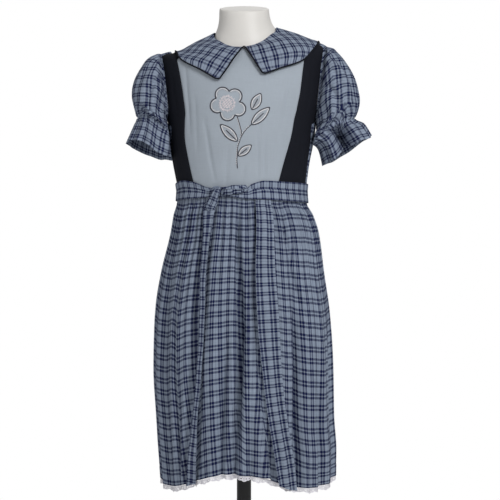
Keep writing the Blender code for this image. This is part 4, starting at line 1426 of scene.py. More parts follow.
class DIRNDL_OT_lace(bpy.types.Operator):
    """Make the narrow scalloped lace under the hem"""
    bl_idname = "dirndl.lace"
    bl_label = "Hem Lace"

    def execute(self, context):
        looks = context.scene.dirndl
        angles = np.arange(LACE_COLUMNS)[None, :] * 360 / LACE_COLUMNS
        hem = skirt_skin(angles, np.ones((1, 1)))
        normal = outward(folded_skirt, angles, np.ones((1, 1)), DOWNWARD)
        scallop = SCALLOP * np.cos(np.radians(SCALLOPS * angles))
        scallop = scallop + FINE_SCALLOP * (2 * np.abs(np.cos(np.radians(FINE_SCALLOPS / 2 * angles))) - 1)
        down = np.linspace(1, 0, LACE_ROWS)[:, None]
        base = np.repeat(hem, LACE_ROWS, axis=0) + normal * ((CLOTH + LACE_WALL) / 2)
        base[..., 2] -= LACE_GAP + (LACE_DROP + scallop - LACE_GAP) * down
        ripple = LACE_WAVE * np.sin(np.radians(LACE_WAVES * angles)) * down
        points = base + normal * ripple[..., None]
        round_hem = lengths(np.append(hem, hem[:, :1], axis=1), 1)[0]
        across = round_hem * FINE_SCALLOPS * looks.scallop_width / round_hem[-1]
        weave = closed_weave(across, (LACE_DROP - LACE_GAP) * (1 - down))
        piece = cloth_piece("hem_lace_cloth", points, weave, lace_cotton(looks), LACE_CLOTH,
                            ["hem_lace"], closed=True)
        return {"FINISHED"}


# The sash

SASH_COLUMNS = 360
SASH_ROWS = 25
BAND_WRINKLES = crease_table(
    (.30, -70, .40, -28, .07, .0008), (.62, -80, .55, -27, .06, .0009), (.80, -56, .72, -26, .06, .0006),
    (.35, -20, .45, 30, .07, .0007), (.66, -20, .60, 46, .06, .0008), (.50, 20, .42, 84, .07, .0005),
    (.30, 80, .36, 170, .08, .0006), (.68, 90, .60, 175, .08, .0006), (.40, -170, .34, -84, .08, .0006),
    (.70, -175, .64, -90, .08, .0006),
)
SASH_SWELL = 0.0007
SASH_FLARE = 0.0034
SASH_SETTLE = 0.0004
TAIL_COLUMNS = 34
TAIL_ROWS = 170
TAIL_PATTERN = 0.0081
RIGHT_CREASE_START = 0.2
FOLDED_WAVE = 0.0006
FOLDED_RIPPLE = 0.0005
FOLDED_GROWTH = 6
FOLDED_PATTERN = 0.0028
FOLDED_LIFT = 0.0016
FOLD_RADIUS = 0.55 * TAIL_LAYER
PAST_EDGE = 10
SASH_WIDTH = 0.0345
SASH_FACE = CLOTH + SKIRT["gather"][1] * GATHER_PEAK + LAYER_GAP
RIGHT_TAIL_CREASES = crease_table(
    (-.22, .06, -.30, .34, .07, .0010), (.14, .05, .20, .28, .07, .0010), (-.05, .30, .10, .62, .09, .0008),
    (.32, .52, .20, .86, .08, .0008), (-.30, .60, -.22, .98, .08, .0009),
)


def around(angle, share, distance):
    """Degrees round the skirt that a distance takes up."""
    step = plain_skirt(angle + TURN_STEP, share) - plain_skirt(angle - TURN_STEP, share)
    return distance * 2 * TURN_STEP / np.linalg.norm(step, axis=-1)


def tail_shares(table):
    """Shares of the skirt's length along a hanging end, from its lower end up to the band."""
    top_angle = table["angle"][0]
    reach = np.degrees(table["width"][0] / 2 / BODY["front"][0])
    band_z = read(SASH, "low", top_angle + np.array((-1, 0, 1)) * reach)
    top_share = (WAIST_Z - (np.min(band_z) - TAIL_TOP_GAP)) / (WAIST_Z - hem_z(top_angle))
    return np.linspace(table["share"][-1], top_share, TAIL_ROWS)


def tail_lift(share):
    """How far a hanging end lies in front of the skirt's base surface."""
    return read(SKIRT, "gather", share) * GATHER_PEAK + CLOTH + LAYER_GAP


def strip_run(points):
    """Place along a hanging strip, its lines square to the strip's middle."""
    middle = points[:, points.shape[1] // 2]
    along = unit(np.gradient(middle, axis=0))
    run = lengths(middle[None], 1)[0]
    return run[:, None] + np.sum((points - middle[:, None]) * along[:, None], axis=-1)


class DIRNDL_OT_sash_band(bpy.types.Operator):
    """Make the sash round the waist"""
    bl_idname = "dirndl.sash_band"
    bl_label = "Sash Band"

    def execute(self, context):
        looks = context.scene.dirndl
        angles = (np.arange(SASH_COLUMNS) * 360 / SASH_COLUMNS - 180)[None, :]
        low, high = read(SASH, "low high", angles)
        share = np.linspace(0, 1, SASH_ROWS)[:, None]
        ahead = np.clip(np.cos(np.radians(angles)), .2, 1)
        swell = SASH_SWELL * (1 - (2 * share - 1) ** 4) + SASH_FLARE * (1 - share) ** 3 * ahead
        lift = SASH_FACE + CLOTH - SASH_SETTLE + swell - creases(BAND_WRINKLES, share, angles)
        points = lifted(waist_skin, angles, low + (high - low) * share, lift, normal_skin=waist_cylinder)
        run = lengths(points[:1], 1)[0]
        run = np.append(run, run[-1] + np.linalg.norm(points[0, 0] - points[0, -1]))
        weave = closed_weave(run, (share - .5) * SASH_WIDTH + looks.weft_repeat / 2)
        piece = cloth_piece("sash_band_cloth", points, weave, check_cotton("sash_check", looks),
                            looks.thickness, nodes=["sash_band"], closed=True)
        return {"FINISHED"}


KNOT_COLUMNS = 40
KNOT_ROWS = 30
KNOT_ENDS = (-72, 76)
KNOT_GROOVES = ((.13, 1.0, .5, .16), (.10, 2.3, -.4, .14))
STRIP_COLUMNS = 40
STRIP_ROWS = 90
STRIP_CURL = 0.0016
TWIST_COLUMNS = 96
TWIST_ROWS = 120
LOOP_PATH = columns(
    "along aside ahead half_width",
    (0, .0092, .0020, .0042), (.06, .0092, .0105, .0050), (.16, .0085, .0152, .0060),
    (.30, .0062, .0160, .0068), (.48, .0030, .0152, .0076), (.66, -.0002, .0148, .0084),
    (.82, -.0030, .0152, .0086), (.93, -.0036, .0152, .0068), (1, -.0038, .0125, .0046),
)
LOOP_TOP = 0.0066
LOOP_BOTTOM = -0.0345
LOOP_CREASES = crease_table(
    (-.10, .10, -.30, .95, .10, .0013), (.42, .06, .30, .80, .12, .0010), (-.62, .30, -.66, .98, .12, .0010),
)
KNOT_ASIDE = 0.0040


class DIRNDL_OT_sash_knot(bpy.types.Operator):
    """Make the knot with the strip that passes over it, and the twisted stretch beside it"""
    bl_idname = "dirndl.sash_knot"
    bl_label = "Sash Knot"

    def execute(self, context):
        looks = context.scene.dirndl
        check = check_cotton("knot_check", looks)
        face = SASH_FACE + CLOTH + 2 * LAYER_GAP
        angle, z = np.array([KNOT_ANGLE]), np.array([read(SASH, "low", KNOT_ANGLE) + KNOT_RISE])
        normal = outward(waist_cylinder, angle, z)[0]
        side = np.cross((0, 0, 1), normal)
        centre = waist_skin(angle, z)[0] + normal * (face + KNOT_SIZE[1])
        self.knot(centre, side, normal, check)
        self.strip(centre - normal * KNOT_SIZE[1], side, normal, looks, check)
        self.twist(face, check)
        return {"FINISHED"}

    def knot(self, centre, side, normal, check):
        """The filled knot, with grooves between its turns of cloth."""
        wide, deep, high = KNOT_SIZE
        turns = np.arange(KNOT_COLUMNS) * 2 * np.pi / KNOT_COLUMNS
        rings = []
        for up in np.radians(np.linspace(*KNOT_ENDS, KNOT_ROWS)):
            size = 1
            for depth, place, lean, half in KNOT_GROOVES:
                size = size - depth * bell(turns - place, lean * up, half)
            ring = (wide * (np.cos(turns) * size)[:, None] * side
                    + deep * (np.sin(turns) * size)[:, None] * normal) * math.cos(up) ** .8
            rings.append(centre + side * KNOT_ASIDE + ring + np.array((0, 0, high * math.sin(up))))
        ring_piece("sash_knot_cloth", upright(rings), check, ["sash_knot"])

    def strip(self, middle, side, normal, looks, check):
        """The strip of the sash that passes over the knot and hangs below it."""
        rows, across = np.linspace(1, 0, STRIP_ROWS)[:, None], np.linspace(-1, 1, STRIP_COLUMNS)[None, :]
        aside, ahead, half = read(LOOP_PATH, "aside ahead half_width", rows)
        curl = STRIP_CURL * (1 - across ** 4) - creases(LOOP_CREASES, across, rows)
        drop = LOOP_TOP + (LOOP_BOTTOM - LOOP_TOP) * rows
        points = (middle + side * (aside + half * across)[..., None]
                  + normal * (ahead + curl)[..., None] + np.array((0, 0, 1)) * drop[..., None])
        weave = point(strip_run(points), across * SASH_WIDTH / 2 + looks.weft_repeat / 2)
        piece = cloth_piece("sash_knot_strip", points, weave, check, looks.thickness)

    def twist(self, face, check):
        """The filled twisted stretch beside the knot."""
        turns = np.arange(TWIST_COLUMNS) * 2 * np.pi / TWIST_COLUMNS
        ahead = np.clip(-np.cos(turns), 0, 1) ** .5
        places = np.linspace(TWIST["angle"][0], TWIST["angle"][-1], TWIST_ROWS)
        rings = []
        for share, place in zip(np.linspace(0, 1, TWIST_ROWS), places):
            height, rise = read(TWIST, "z half_height", place)
            depth = TWIST_DEPTH * rise / max(TWIST["half_height"])
            heights = height + rise * np.sin(turns)
            where = np.full(len(turns), place)
            out = outward(waist_cylinder, where, heights)
            sunk = creases(TWIST_CREASES, np.sin(turns), share) * ahead
            away = face + depth - depth * np.cos(turns) - sunk
            rings.append(waist_skin(where, heights) + out * away[:, None])
        ring_piece("sash_twist_cloth", rings, check, ["sash_twist"])


class DIRNDL_OT_sash_tails(bpy.types.Operator):
    """Make the two hanging ends of the sash"""
    bl_idname = "dirndl.sash_tails"
    bl_label = "Sash Ends"

    def execute(self, context):
        looks = context.scene.dirndl
        check = check_cotton("tail_check", looks)
        self.flat_tail(looks, check)
        self.folded_tail(looks, check)
        return {"FINISHED"}

    def flat_tail(self, looks, check):
        """The wide end, which hangs flat."""
        shares = tail_shares(TAIL_RIGHT)[:, None]
        middle, width = read(TAIL_RIGHT, "angle width", shares)
        across = np.linspace(-.5, .5, TAIL_COLUMNS)[None, :]
        angles = middle + around(middle, shares, width) * across
        ripple = TAIL_RIPPLE * (1 + np.cos(4 * np.pi * across)) * ramp(shares, 0, RIPPLE_SHARE)
        ripple = ripple * (RIPPLE_MEAN + RIPPLE_SWING * np.sin(16 * shares + 3 * across))
        marks = creases(RIGHT_TAIL_CREASES, across, shares) * ramp(shares, 0, RIGHT_CREASE_START)
        points = lifted(plain_skirt, angles, shares, tail_lift(shares) + CLOTH + ripple - marks, DOWNWARD)
        weave = point(strip_run(points), across * SASH_WIDTH + looks.weft_repeat / 2 - TAIL_PATTERN)
        piece = cloth_piece("sash_tail_right_cloth", points, weave, check, looks.thickness,
                            nodes=["sash_tail_right"])

    def folded_tail(self, looks, check):
        """The narrow end, folded lengthwise in three."""
        straight, bend = np.linspace(-1, 1, 9), np.radians(np.linspace(-90, 90, 6)[1:-1])
        sides, outs = [], []
        for layer, way in enumerate((-1, 1, -1)):
            sides += (straight * way).tolist()
            outs += [layer * 2 * FOLD_RADIUS] * len(straight)
            if layer < 2:
                sides += (way * (1 + PAST_EDGE * np.cos(bend))).tolist()
                outs += (FOLD_RADIUS * (2 * layer + 1 + np.sin(bend))).tolist()
        sides, outs = np.array(sides), np.array(outs)
        shares = tail_shares(TAIL_LEFT)[:, None]
        middle, width = read(TAIL_LEFT, "angle width", shares)
        past = np.clip(np.abs(sides) - 1, 0, None) * FOLD_RADIUS / PAST_EDGE
        places = np.clip(sides, -1, 1) * (width / 2 - FOLD_RADIUS) + np.sign(sides) * past
        angles = middle + around(middle, shares, places)
        wavy = FOLDED_WAVE * np.sin(23 * shares + .8 * sides) + FOLDED_RIPPLE * np.sin(41 * shares + 1)
        wavy = wavy * np.clip(shares * FOLDED_GROWTH, 0, 1)
        lift = tail_lift(shares) + looks.thickness + outs + FOLDED_LIFT + wavy
        points = lifted(plain_skirt, angles, shares, lift, DOWNWARD)
        along = lengths(points, 1)
        weave = point(strip_run(points), along / along[:, -1:] * SASH_WIDTH - FOLDED_PATTERN)
        piece = cloth_piece("sash_tail_left_cloth", points[:, ::-1], weave[:, ::-1], check, looks.thickness,
                            nodes=["sash_tail_left"])


# The embroidery

FLOWER = (-.0284, .832)
PETALS = columns(
    "turn away radius",
    (117, .0172, .0124), (43, .0176, .0125), (-26, .0220, .0120), (-86, .0172, .0123), (-168, .0166, .0124),
)
PETAL_OUTLINE = 1.7
PETAL_LINE = 1.15
PETAL_LINE_INSET = 0.0021
PETAL_LINE_TRIM = 0.07
PETAL_STITCHES = 24
PETAL_STITCH = 0.7
PETAL_STITCH_OUTER = 0.0024
PETAL_STITCH_INNER = 0.0050
PETAL_TRIM_OUTER = 0.12
PETAL_TRIM_INNER = 0.16
EYE_INNER = 0.0102
EYE_INNER_SPREAD = (-.0009, .0004)
EYE_OUTER = 0.0142
EYE_OUTER_SPREAD = (-.0016, .0016)
EYE_STITCHES = 58
EYE_STITCH = 1.1
EYE_GRID = 0.0017
EYE_ROWS = range(-6, 7)
EYE_ROW_STEP = 0.9
EYE_CROSS = 0.0012
EYE_CROSS_STITCH = 1.6
STEM_OUTLINE = 1.4
STEM_STITCH = 1.5
STEM_STITCH_OUTER = 0.0014
STEM_STITCH_INNER = 0.0007
LEAF_OUTLINE = 1.55
LEAF_LEAN = 0.92
LEAF_FULLNESS = 0.78
LEAF_LINE = 1.5
LEAF_LINE_INSET = 0.0019
LEAF_LINE_ENDS = (.07, .93)
LEAF_RIB_ENDS = (.08, .66)
LEAF_RIB_GAP = 0.0010
LEAF_STITCHES = 24
LEAF_STITCH = 0.62
LEAF_STITCH_ENDS = (.10, .86)
LEAF_STITCH_SLANT = 0.07
LEAF_STITCH_INSET = 0.0026
LEAF_STITCH_LEAST = 0.0014
STEMS = (
    ((.0172, -.0231), (.0214, -.0367), (.0238, -.0465), (.0243, -.0550)),
    ((.0412, -.0358), (.0311, -.0455), (.0243, -.0562), (.0204, -.0660), (.0178, -.0757), (.0173, -.0874),
     (.0166, -.0942), (.0176, -.1098)),
)
LEAVES = columns(
    "x z tip_x tip_z half_width",
    (.0422, -.0106, .0572, .0168, .0080), (.0414, -.0360, .0722, -.0064, .0080),
    (.0176, -.0640, -.0114, -.0358, .0080), (.0190, -.0884, .0412, -.0706, .0068),
)


def smooth_path(points, count):
    """A smooth path through a few points, in even steps."""
    points = np.asarray(points, float)
    run = np.concatenate(([0], np.cumsum(np.linalg.norm(np.diff(points, axis=0), axis=1))))
    at = np.linspace(0, run[-1], count)
    return point(*(follow(run, points[:, axis], at) for axis in (0, 1)))


class DIRNDL_OT_embroidery(bpy.types.Operator):
    """Sew the flower, its stems and leaves on the front panel"""
    bl_idname = "dirndl.embroidery"
    bl_label = "Embroidery"

    def execute(self, context):
        looks = context.scene.dirndl
        self.panel = Surface(bpy.data.objects["bodice_front_cloth"])
        self.dark, self.pale, self.fill, self.pink = Threads(), Threads(), Threads(5), Threads(5)
        self.width = looks.thread_width
        self.petals()
        self.eye()
        for stem in STEMS:
            self.stem(smooth_path(stem, 70))
        for x, z, tip_x, tip_z, half in zip(*LEAVES.values()):
            self.leaf(np.array((x, z)), np.array((tip_x, tip_z)), half)
        for name, slot in (("dark", "navy_cotton"), ("pale", "lace_white"), ("fill", "plain_cotton"),
                           ("pink", "lace_white")):
            colour = tuple(getattr(looks, "thread_" + name))
            getattr(self, name).piece("embroidery_" + name, thread_cotton("thread_" + name, colour), slot)
        return {"FINISHED"}

    def stitch(self, threads, path, size=1.0, taper=False):
        """Lay a thread along a path on the panel, measured from the flower's centre."""
        path = np.asarray(path, float)
        points, normals = self.panel.front(path[:, 0] + FLOWER[0], path[:, 1] + FLOWER[1])
        threads.lay(points, normals, self.width / 2 * size, self.width / 3 * size, taper)

    def straight(self, threads, start, end, size):
        """Lay one straight stitch that tapers at both ends."""
        self.stitch(threads, np.linspace(start, end, 4), size, True)

    def petals(self):
        """The flower's outline in five lobes, with a pale line and fine stitches inside it."""
        turn, away, radius = np.radians(PETALS["turn"]), PETALS["away"], PETALS["radius"]
        centres = point(np.cos(turn), np.sin(turn)) * away[:, None]
        for index, (centre, size) in enumerate(zip(centres, radius)):
            ends = []
            for other in ((index - 1) % 5, (index + 1) % 5):
                between = centres[other] - centre
                gap = np.linalg.norm(between)
                bend = math.acos(min(1, (size ** 2 + gap ** 2 - radius[other] ** 2) / (2 * size * gap)))
                way = math.atan2(between[1], between[0])
                outer = max((way + bend, way - bend), key=lambda one: np.linalg.norm(
                    centre + size * np.array((math.cos(one), math.sin(one)))))
                ends.append((outer - turn[index] + math.pi) % (2 * math.pi) - math.pi)
            low, high = min(ends), max(ends)

            def arc(inset, trim, count):
                turns = turn[index] + np.linspace(low + trim, high - trim, count)
                return centre + (size - inset) * point(np.cos(turns), np.sin(turns))

            self.stitch(self.dark, arc(0, 0, 44), PETAL_OUTLINE)
            self.stitch(self.pale, arc(PETAL_LINE_INSET, PETAL_LINE_TRIM, 40), PETAL_LINE)
            for outer, inner in zip(arc(PETAL_STITCH_OUTER, PETAL_TRIM_OUTER, PETAL_STITCHES),
                                    arc(PETAL_STITCH_INNER, PETAL_TRIM_INNER, PETAL_STITCHES)):
                self.straight(self.fill, outer, inner, PETAL_STITCH)

    def eye(self):
        """A ring of short stitches round a middle of small crossed ones."""
        spin = np.random.default_rng(7)
        for index in range(EYE_STITCHES):
            turn = 2 * math.pi * (index + spin.uniform(-.2, .2)) / EYE_STITCHES
            ray = np.array((math.cos(turn), math.sin(turn)))
            self.straight(self.pink, ray * (EYE_INNER + spin.uniform(*EYE_INNER_SPREAD)),
                          ray * (EYE_OUTER + spin.uniform(*EYE_OUTER_SPREAD)), EYE_STITCH)
        for row in EYE_ROWS:
            for column in EYE_ROWS:
                place = np.array((column + .5 * (row % 2), row * EYE_ROW_STEP)) * EYE_GRID
                if np.linalg.norm(place) < EYE_INNER - EYE_CROSS:
                    turn = math.radians(45 + 90 * ((row + column) % 2) + spin.uniform(-18, 18))
                    half = np.array((math.cos(turn), math.sin(turn))) * EYE_CROSS
                    threads = self.pink if (row + 2 * column) % 3 else self.fill
                    self.straight(threads, place - half, place + half, EYE_CROSS_STITCH)

    def stem(self, path):
        """A stem's outline with pale stitches on one side of it."""
        across = unit(point(-np.gradient(path[:, 1]), np.gradient(path[:, 0])))
        self.stitch(self.dark, path, STEM_OUTLINE)
        for index in range(4, len(path) - 6, 3):
            start = path[index] - across[index] * STEM_STITCH_OUTER
            end = path[index + 2] - across[index] * STEM_STITCH_INNER
            self.straight(self.pale, start, end, STEM_STITCH)

    def leaf(self, base, tip, half):
        """A leaf's outline, midrib and pale side stitches."""
        axis = tip - base
        long = np.linalg.norm(axis)
        axis = axis / long
        side = np.array((-axis[1], axis[0]))

        def width(run):
            return half * np.sin(np.pi * np.asarray(run) ** LEAF_LEAN) ** LEAF_FULLNESS

        def beside(way, run, inset):
            """Places at a distance inside the outline on one side."""
            return base + axis * long * run + side * way * (width(run) - inset)

        for way in (1, -1):
            self.stitch(self.dark, beside(way, np.linspace(0, 1, 34)[:, None], 0), LEAF_OUTLINE)
            near = np.linspace(*LEAF_LINE_ENDS, 30)[:, None]
            self.stitch(self.pale, beside(way, near, LEAF_LINE_INSET), LEAF_LINE)
            for place in np.linspace(*LEAF_STITCH_ENDS, LEAF_STITCHES):
                start = base + axis * long * place + side * way * LEAF_RIB_GAP
                far = max(width(place + .05) - LEAF_STITCH_INSET, LEAF_STITCH_LEAST)
                end = base + axis * long * (place + LEAF_STITCH_SLANT) + side * way * far
                self.straight(self.fill, start, end, LEAF_STITCH)
        rib = np.linspace(*LEAF_RIB_ENDS, 22)[:, None]
        self.stitch(self.dark, base + axis * long * rib, STEM_OUTLINE)


# The form and its stand

FORM_COLUMNS = 120
FORM_LEVELS = np.linspace(0, 8, 60)
HIP_HEIGHTS = np.append(np.linspace(FORM_HIPS["z"][0], .54, 12), np.linspace(.55, FORM_HIPS["z"][-1], 12))
NECK_STRAIGHT = 0.93
NECK_ROWS = 26
NECK_EDGE_ROWS = 8
NECK_EDGE = 0.0021
CAP_SIZES = (.9, .6, .25)
CAP_RISE = 0.0008
BASE_STEPS = ((.012, .0006), (.088, .0014))
BASE_EDGE = 0.0022
POLE_EDGE = 0.0010


def body_ring(angles, level):
    """Ring of the form's torso inside the dress."""
    levels = np.full(len(angles), float(level))
    inset = read(FORM_INSET, "inset", level)
    return body_skin(angles, levels) - outward(body_skin, angles, levels) * inset


class DIRNDL_OT_form(bpy.types.Operator):
    """Make the smooth limbless form with its neck"""
    bl_idname = "dirndl.form"
    bl_label = "Dress Form"

    def execute(self, context):
        looks = context.scene.dirndl
        angles = np.arange(FORM_COLUMNS) * 360 / FORM_COLUMNS
        rings = []
        for z in HIP_HEIGHTS:
            half, front, back = read(FORM_HIPS, "half_width front back", z)
            rings.append(point(*round_body(angles, BODY["shift"][0], half, half, front, back), z))
        rings += [body_ring(angles, level) for level in FORM_LEVELS]
        base = rings[-1]
        shares = np.linspace(FORM_NECK["share"][0], NECK_STRAIGHT, NECK_ROWS)
        shares = np.append(shares, np.full(NECK_EDGE_ROWS, NECK_STRAIGHT))
        bends = np.append(np.zeros(NECK_ROWS), np.linspace(0, 90, NECK_EDGE_ROWS + 1)[1:])
        for share, bend in zip(shares, np.radians(bends)):
            inset = NECK_EDGE * (1 - math.cos(bend))
            half, front, back = (size - inset for size in read(FORM_NECK, "half_width front back", share))
            x, y = round_body(angles, BODY["shift"][-1], half, half, front, back)
            top = NECK_TOP_Z + NECK_TOP_SLOPE * y
            rise = share + (1 - share) * math.sin(bend)
            rings.append(point(x + NECK_SHIFT * share, y, base[:, 2] + (top - base[:, 2]) * rise))
        cap = rings[-1]
        hub = cap.mean(axis=0)
        for size in CAP_SIZES:
            rings.append(hub + (cap - hub) * size + np.array((0, 0, CAP_RISE * (1 - size ** 2))))
        ring_piece("form_shell", rings, form_shell(looks), ["form_torso"])
        return {"FINISHED"}


class DIRNDL_OT_stand(bpy.types.Operator):
    """Make the round base and the pole of the stand"""
    bl_idname = "dirndl.stand"
    bl_label = "Stand"

    def execute(self, context):
        looks = context.scene.dirndl
        black = powder_coat(looks)
        base = self.cylinder("stand_base_plate", 128, BASE_RADIUS, 0, BASE_THICKNESS, black)
        for inset, rise in BASE_STEPS:
            self.inset_top(base, inset, rise)
        self.round_off(base, BASE_EDGE, 4, "stand_base")
        low, high = BASE_THICKNESS + SEAM_GAP, FORM_HIPS["z"][0] - SEAM_GAP
        pole = self.cylinder("stand_pole_tube", 64, POLE_RADIUS, low, high, black)
        self.round_off(pole, POLE_EDGE, 3, "stand_pole")
        return {"FINISHED"}

    def cylinder(self, name, sides, radius, low, high, material):
        """An upright cylinder between two heights, with its place in its mesh."""
        deselect()
        bpy.ops.mesh.primitive_cylinder_add(vertices=sides, radius=radius, depth=high - low,
                                            location=(0, 0, (low + high) / 2))
        piece = bpy.context.object
        piece.name = name
        piece.data.name = name
        only(piece)
        bpy.ops.object.transform_apply(location=True, rotation=True, scale=True)
        piece.data.materials.append(material)
        return piece

    def round_off(self, piece, width, segments, node):
        """Bevel the sharp edges and let the piece stand for its solid."""
        apply_modifier(piece, "BEVEL", width=width, segments=segments, limit_method="ANGLE",
                       angle_limit=math.radians(50))
        finish_piece(piece, [node])

    def inset_top(self, piece, inset, rise):
        """Inset the highest face and raise it a little."""
        only(piece)
        bpy.ops.object.mode_set(mode="EDIT")
        bpy.ops.mesh.select_mode(type="FACE")
        bpy.ops.mesh.select_all(action="DESELECT")
        bpy.ops.object.mode_set(mode="OBJECT")
        top = max(piece.data.polygons, key=lambda face: (face.center.z, face.area))
        top.select = True
        bpy.ops.object.mode_set(mode="EDIT")
        bpy.ops.mesh.inset(thickness=inset, depth=rise)
        bpy.ops.object.mode_set(mode="OBJECT")


# The studio

CAMERA_PLACE = (.0105, -3.0, .5835)
CAMERA_DISTANCE = 3.0
CAMERA_VIEW = 0.875
SENSOR = 36
LIT_PLACE = Vector((0, 0, .6))
FLOOR_RADIUS = 60
FADE_START = 0.35
FADE_LENGTH = 0.6


class DIRNDL_OT_studio(bpy.types.Operator):
    """Set the camera, the lights and the pale floor"""
    bl_idname = "dirndl.studio"
    bl_label = "Studio"

    def execute(self, context):
        looks = context.scene.dirndl
        self.floor()
        self.world(context.scene, looks)
        context.scene.view_settings.view_transform = "Standard"
        self.lamp("key_light", (1.25, -2.2, 2.0), 1.1, looks.key_light)
        self.lamp("fill_light", (-1.9, -1.6, 1.3), 1.6, looks.fill_light * .8)
        self.lamp("back_light", (.3, 2.4, 2.0), 1.6, looks.fill_light)
        lens = bpy.data.cameras.new("photo_camera")
        lens.sensor_width = SENSOR
        lens.lens = SENSOR * CAMERA_DISTANCE / CAMERA_VIEW
        lens.clip_end = 200
        camera = bpy.data.objects.new("photo_camera", lens)
        camera.location = CAMERA_PLACE
        camera.rotation_euler = (math.radians(90), 0, 0)
        context.scene.collection.objects.link(camera)
        context.scene.camera = camera
        return {"FINISHED"}

    def floor(self):
        """A pale floor that fades to white away from the stand."""
        deselect()
        bpy.ops.mesh.primitive_circle_add(vertices=96, radius=FLOOR_RADIUS, fill_type="NGON",
                                          location=(0, 0, 0))
        floor = bpy.context.object
        floor.name = "studio_floor"
        recipe = Recipe("floor_pale", (.80, .80, .80), .7, Specular_IOR_Level=.1)
        far = recipe.add("ShaderNodeVectorMath", {"operation": "LENGTH"}, {0: recipe.body()}, "Value")
        glow = recipe.add("ShaderNodeEmission", None, {"Color": (1, 1, 1, 1), "Strength": 1.0})
        seen = recipe.add("ShaderNodeLightPath", output="Is Camera Ray")
        share = ((far - FADE_START) / FADE_LENGTH).limited() * seen
        mixed = recipe.add("ShaderNodeMixShader", None, {0: share, 2: glow})
        recipe.tree.links.new(recipe.shader.outputs[0], mixed.socket.node.inputs[1])
        recipe.tree.links.new(mixed.socket, recipe.tree.nodes["Material Output"].inputs["Surface"])
        floor.data.materials.append(recipe.material)

    def world(self, scene, looks):
        """White surroundings, with a strength of their own for what they light."""
        world = bpy.data.worlds.new("studio_white")
        world.use_nodes = True
        tree = world.node_tree
        background = tree.nodes["Background"]
        background.inputs["Color"].default_value = (1, 1, 1, 1)
        seen = tree.nodes.new("ShaderNodeLightPath")
        strength = tree.nodes.new("ShaderNodeMapRange")
        strength.inputs["To Min"].default_value = looks.world_light
        strength.inputs["To Max"].default_value = 1
        tree.links.new(seen.outputs["Is Camera Ray"], strength.inputs["Value"])
        tree.links.new(strength.outputs["Result"], background.inputs["Strength"])
        scene.world = world

    def lamp(self, name, place, size, energy):
        """A round area light turned to the dress."""
        lamp = bpy.data.lights.new(name, "AREA")
        lamp.shape = "DISK"
        lamp.size = size
        lamp.energy = energy
        light = bpy.data.objects.new(name, lamp)
        light.location = place
        light.rotation_euler = (LIT_PLACE - Vector(place)).to_track_quat("-Z", "Y").to_euler()
        bpy.context.scene.collection.objects.link(light)


# What a user may change


def linear(red, green, blue):
    """A colour as seen, 0 to 255, as the shader's linear values."""
    return tuple(((part / 255 + .055) / 1.055) ** 2.4 for part in (red, green, blue))


def length_property(name, description, default):
    return bpy.props.FloatProperty(name=name, description=description, default=default, min=0, soft_max=.1,
                                   precision=5, unit="LENGTH")


def colour_property(name, description, *seen):
    return bpy.props.FloatVectorProperty(name=name, description=description, default=linear(*seen), size=3,
                                         min=0, max=1, subtype="COLOR")


def power_property(name, description, default):
    return bpy.props.FloatProperty(name=name, description=description, default=default, min=0, unit="POWER")


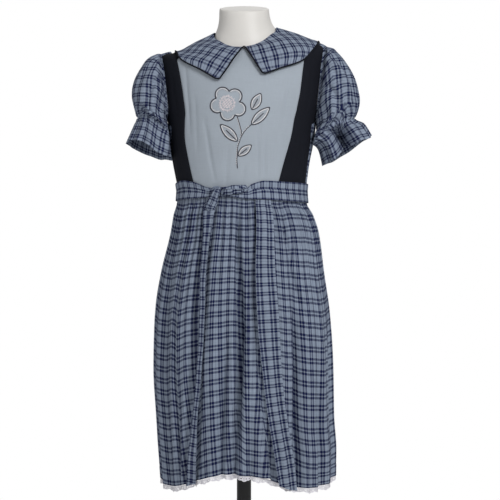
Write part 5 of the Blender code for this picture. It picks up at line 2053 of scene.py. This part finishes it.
class DirndlLooks(bpy.types.PropertyGroup):
    """Cloth, colours and light of the dress."""
    thickness: length_property("Cloth Thickness", "Thickness of the dress cotton", .0008)
    warp_repeat: length_property("Upright Line Repeat", "Distance from one pair of lines to the next", .0155)
    warp_offset: length_property("Upright Line Offset", "Half the distance within a pair of lines", .00205)
    warp_line: length_property("Upright Line Width", "Width of one upright line", .0027)
    warp_shift: length_property("Upright Line Shift", "Moves the upright lines across the cloth", .0)
    weft_repeat: length_property("Level Line Repeat", "Distance from one pair of lines to the next", .0194)
    weft_offset: length_property("Level Line Offset", "Half the distance within a pair of lines", .00315)
    weft_line: length_property("Level Line Width", "Width of one level line", .0038)
    weft_shift: length_property("Level Line Shift", "Moves the level lines along the cloth", .0)
    yarn_pitch: length_property("Yarn Pitch", "Distance from yarn to yarn", .00045)
    scallop_width: length_property("Scallop Width", "Width of one lace scallop", .0084)
    thread_width: length_property("Thread Width", "Width of the embroidery thread", .0011)
    check_ground: colour_property("Check Ground", "Light yarn of the check", 146, 158, 177)
    check_line: colour_property("Check Lines", "Dark yarn of the check", 21, 28, 66)
    plain: colour_property("Plain Cotton", "Front panel", 168, 177, 187)
    navy: colour_property("Navy Cotton", "Side bands and collar edges", 24, 26, 34)
    lace: colour_property("Lace", "Cotton of the lace", 244, 242, 249)
    thread_dark: colour_property("Dark Thread", "Outlines of the embroidery", 62, 60, 70)
    thread_pale: colour_property("Pale Thread", "Pale lines inside the outlines", 240, 240, 246)
    thread_fill: colour_property("Filling Thread", "Fine stitches in the petals and leaves", 196, 200, 208)
    thread_pink: colour_property("Pink Thread", "Centre of the flower", 250, 234, 241)
    form: colour_property("Form", "Shell of the dress form", 232, 229, 224)
    stand: colour_property("Stand", "Powder coat of the stand", 26, 26, 28)
    world_light: bpy.props.FloatProperty(name="Surroundings", default=.355, min=0,
                                         description="Strength of the white surroundings")
    key_light: power_property("Key Light", "Power of the key light", 40.0)
    fill_light: power_property("Fill Light", "Power of the fill lights", 7.0)


STEPS = (DIRNDL_OT_form, DIRNDL_OT_stand, DIRNDL_OT_bodice, DIRNDL_OT_collar, DIRNDL_OT_sleeves,
         DIRNDL_OT_skirt, DIRNDL_OT_lace, DIRNDL_OT_sash_band, DIRNDL_OT_sash_knot, DIRNDL_OT_sash_tails,
         DIRNDL_OT_embroidery, DIRNDL_OT_studio)


class DIRNDL_PT_panel(bpy.types.Panel):
    """Sizes, colours and steps of the dirndl"""
    bl_idname = "DIRNDL_PT_panel"
    bl_label = "Dirndl"
    bl_space_type = "VIEW_3D"
    bl_region_type = "UI"
    bl_category = "Dirndl"

    def draw(self, context):
        for name in DirndlLooks.__annotations__:
            self.layout.prop(context.scene.dirndl, name)
        for step in STEPS:
            self.layout.operator(step.bl_idname)


CLASSES = (DirndlLooks, *STEPS, DIRNDL_PT_panel)


def register():
    for kind in CLASSES:
        bpy.utils.register_class(kind)
    bpy.types.Scene.dirndl = bpy.props.PointerProperty(type=DirndlLooks)


def unregister():
    del bpy.types.Scene.dirndl
    for kind in reversed(CLASSES):
        bpy.utils.unregister_class(kind)


def main():
    register()
    for step in STEPS:
        group, name = step.bl_idname.split(".")
        getattr(getattr(bpy.ops, group), name)()


if __name__ == "__main__":
    main()
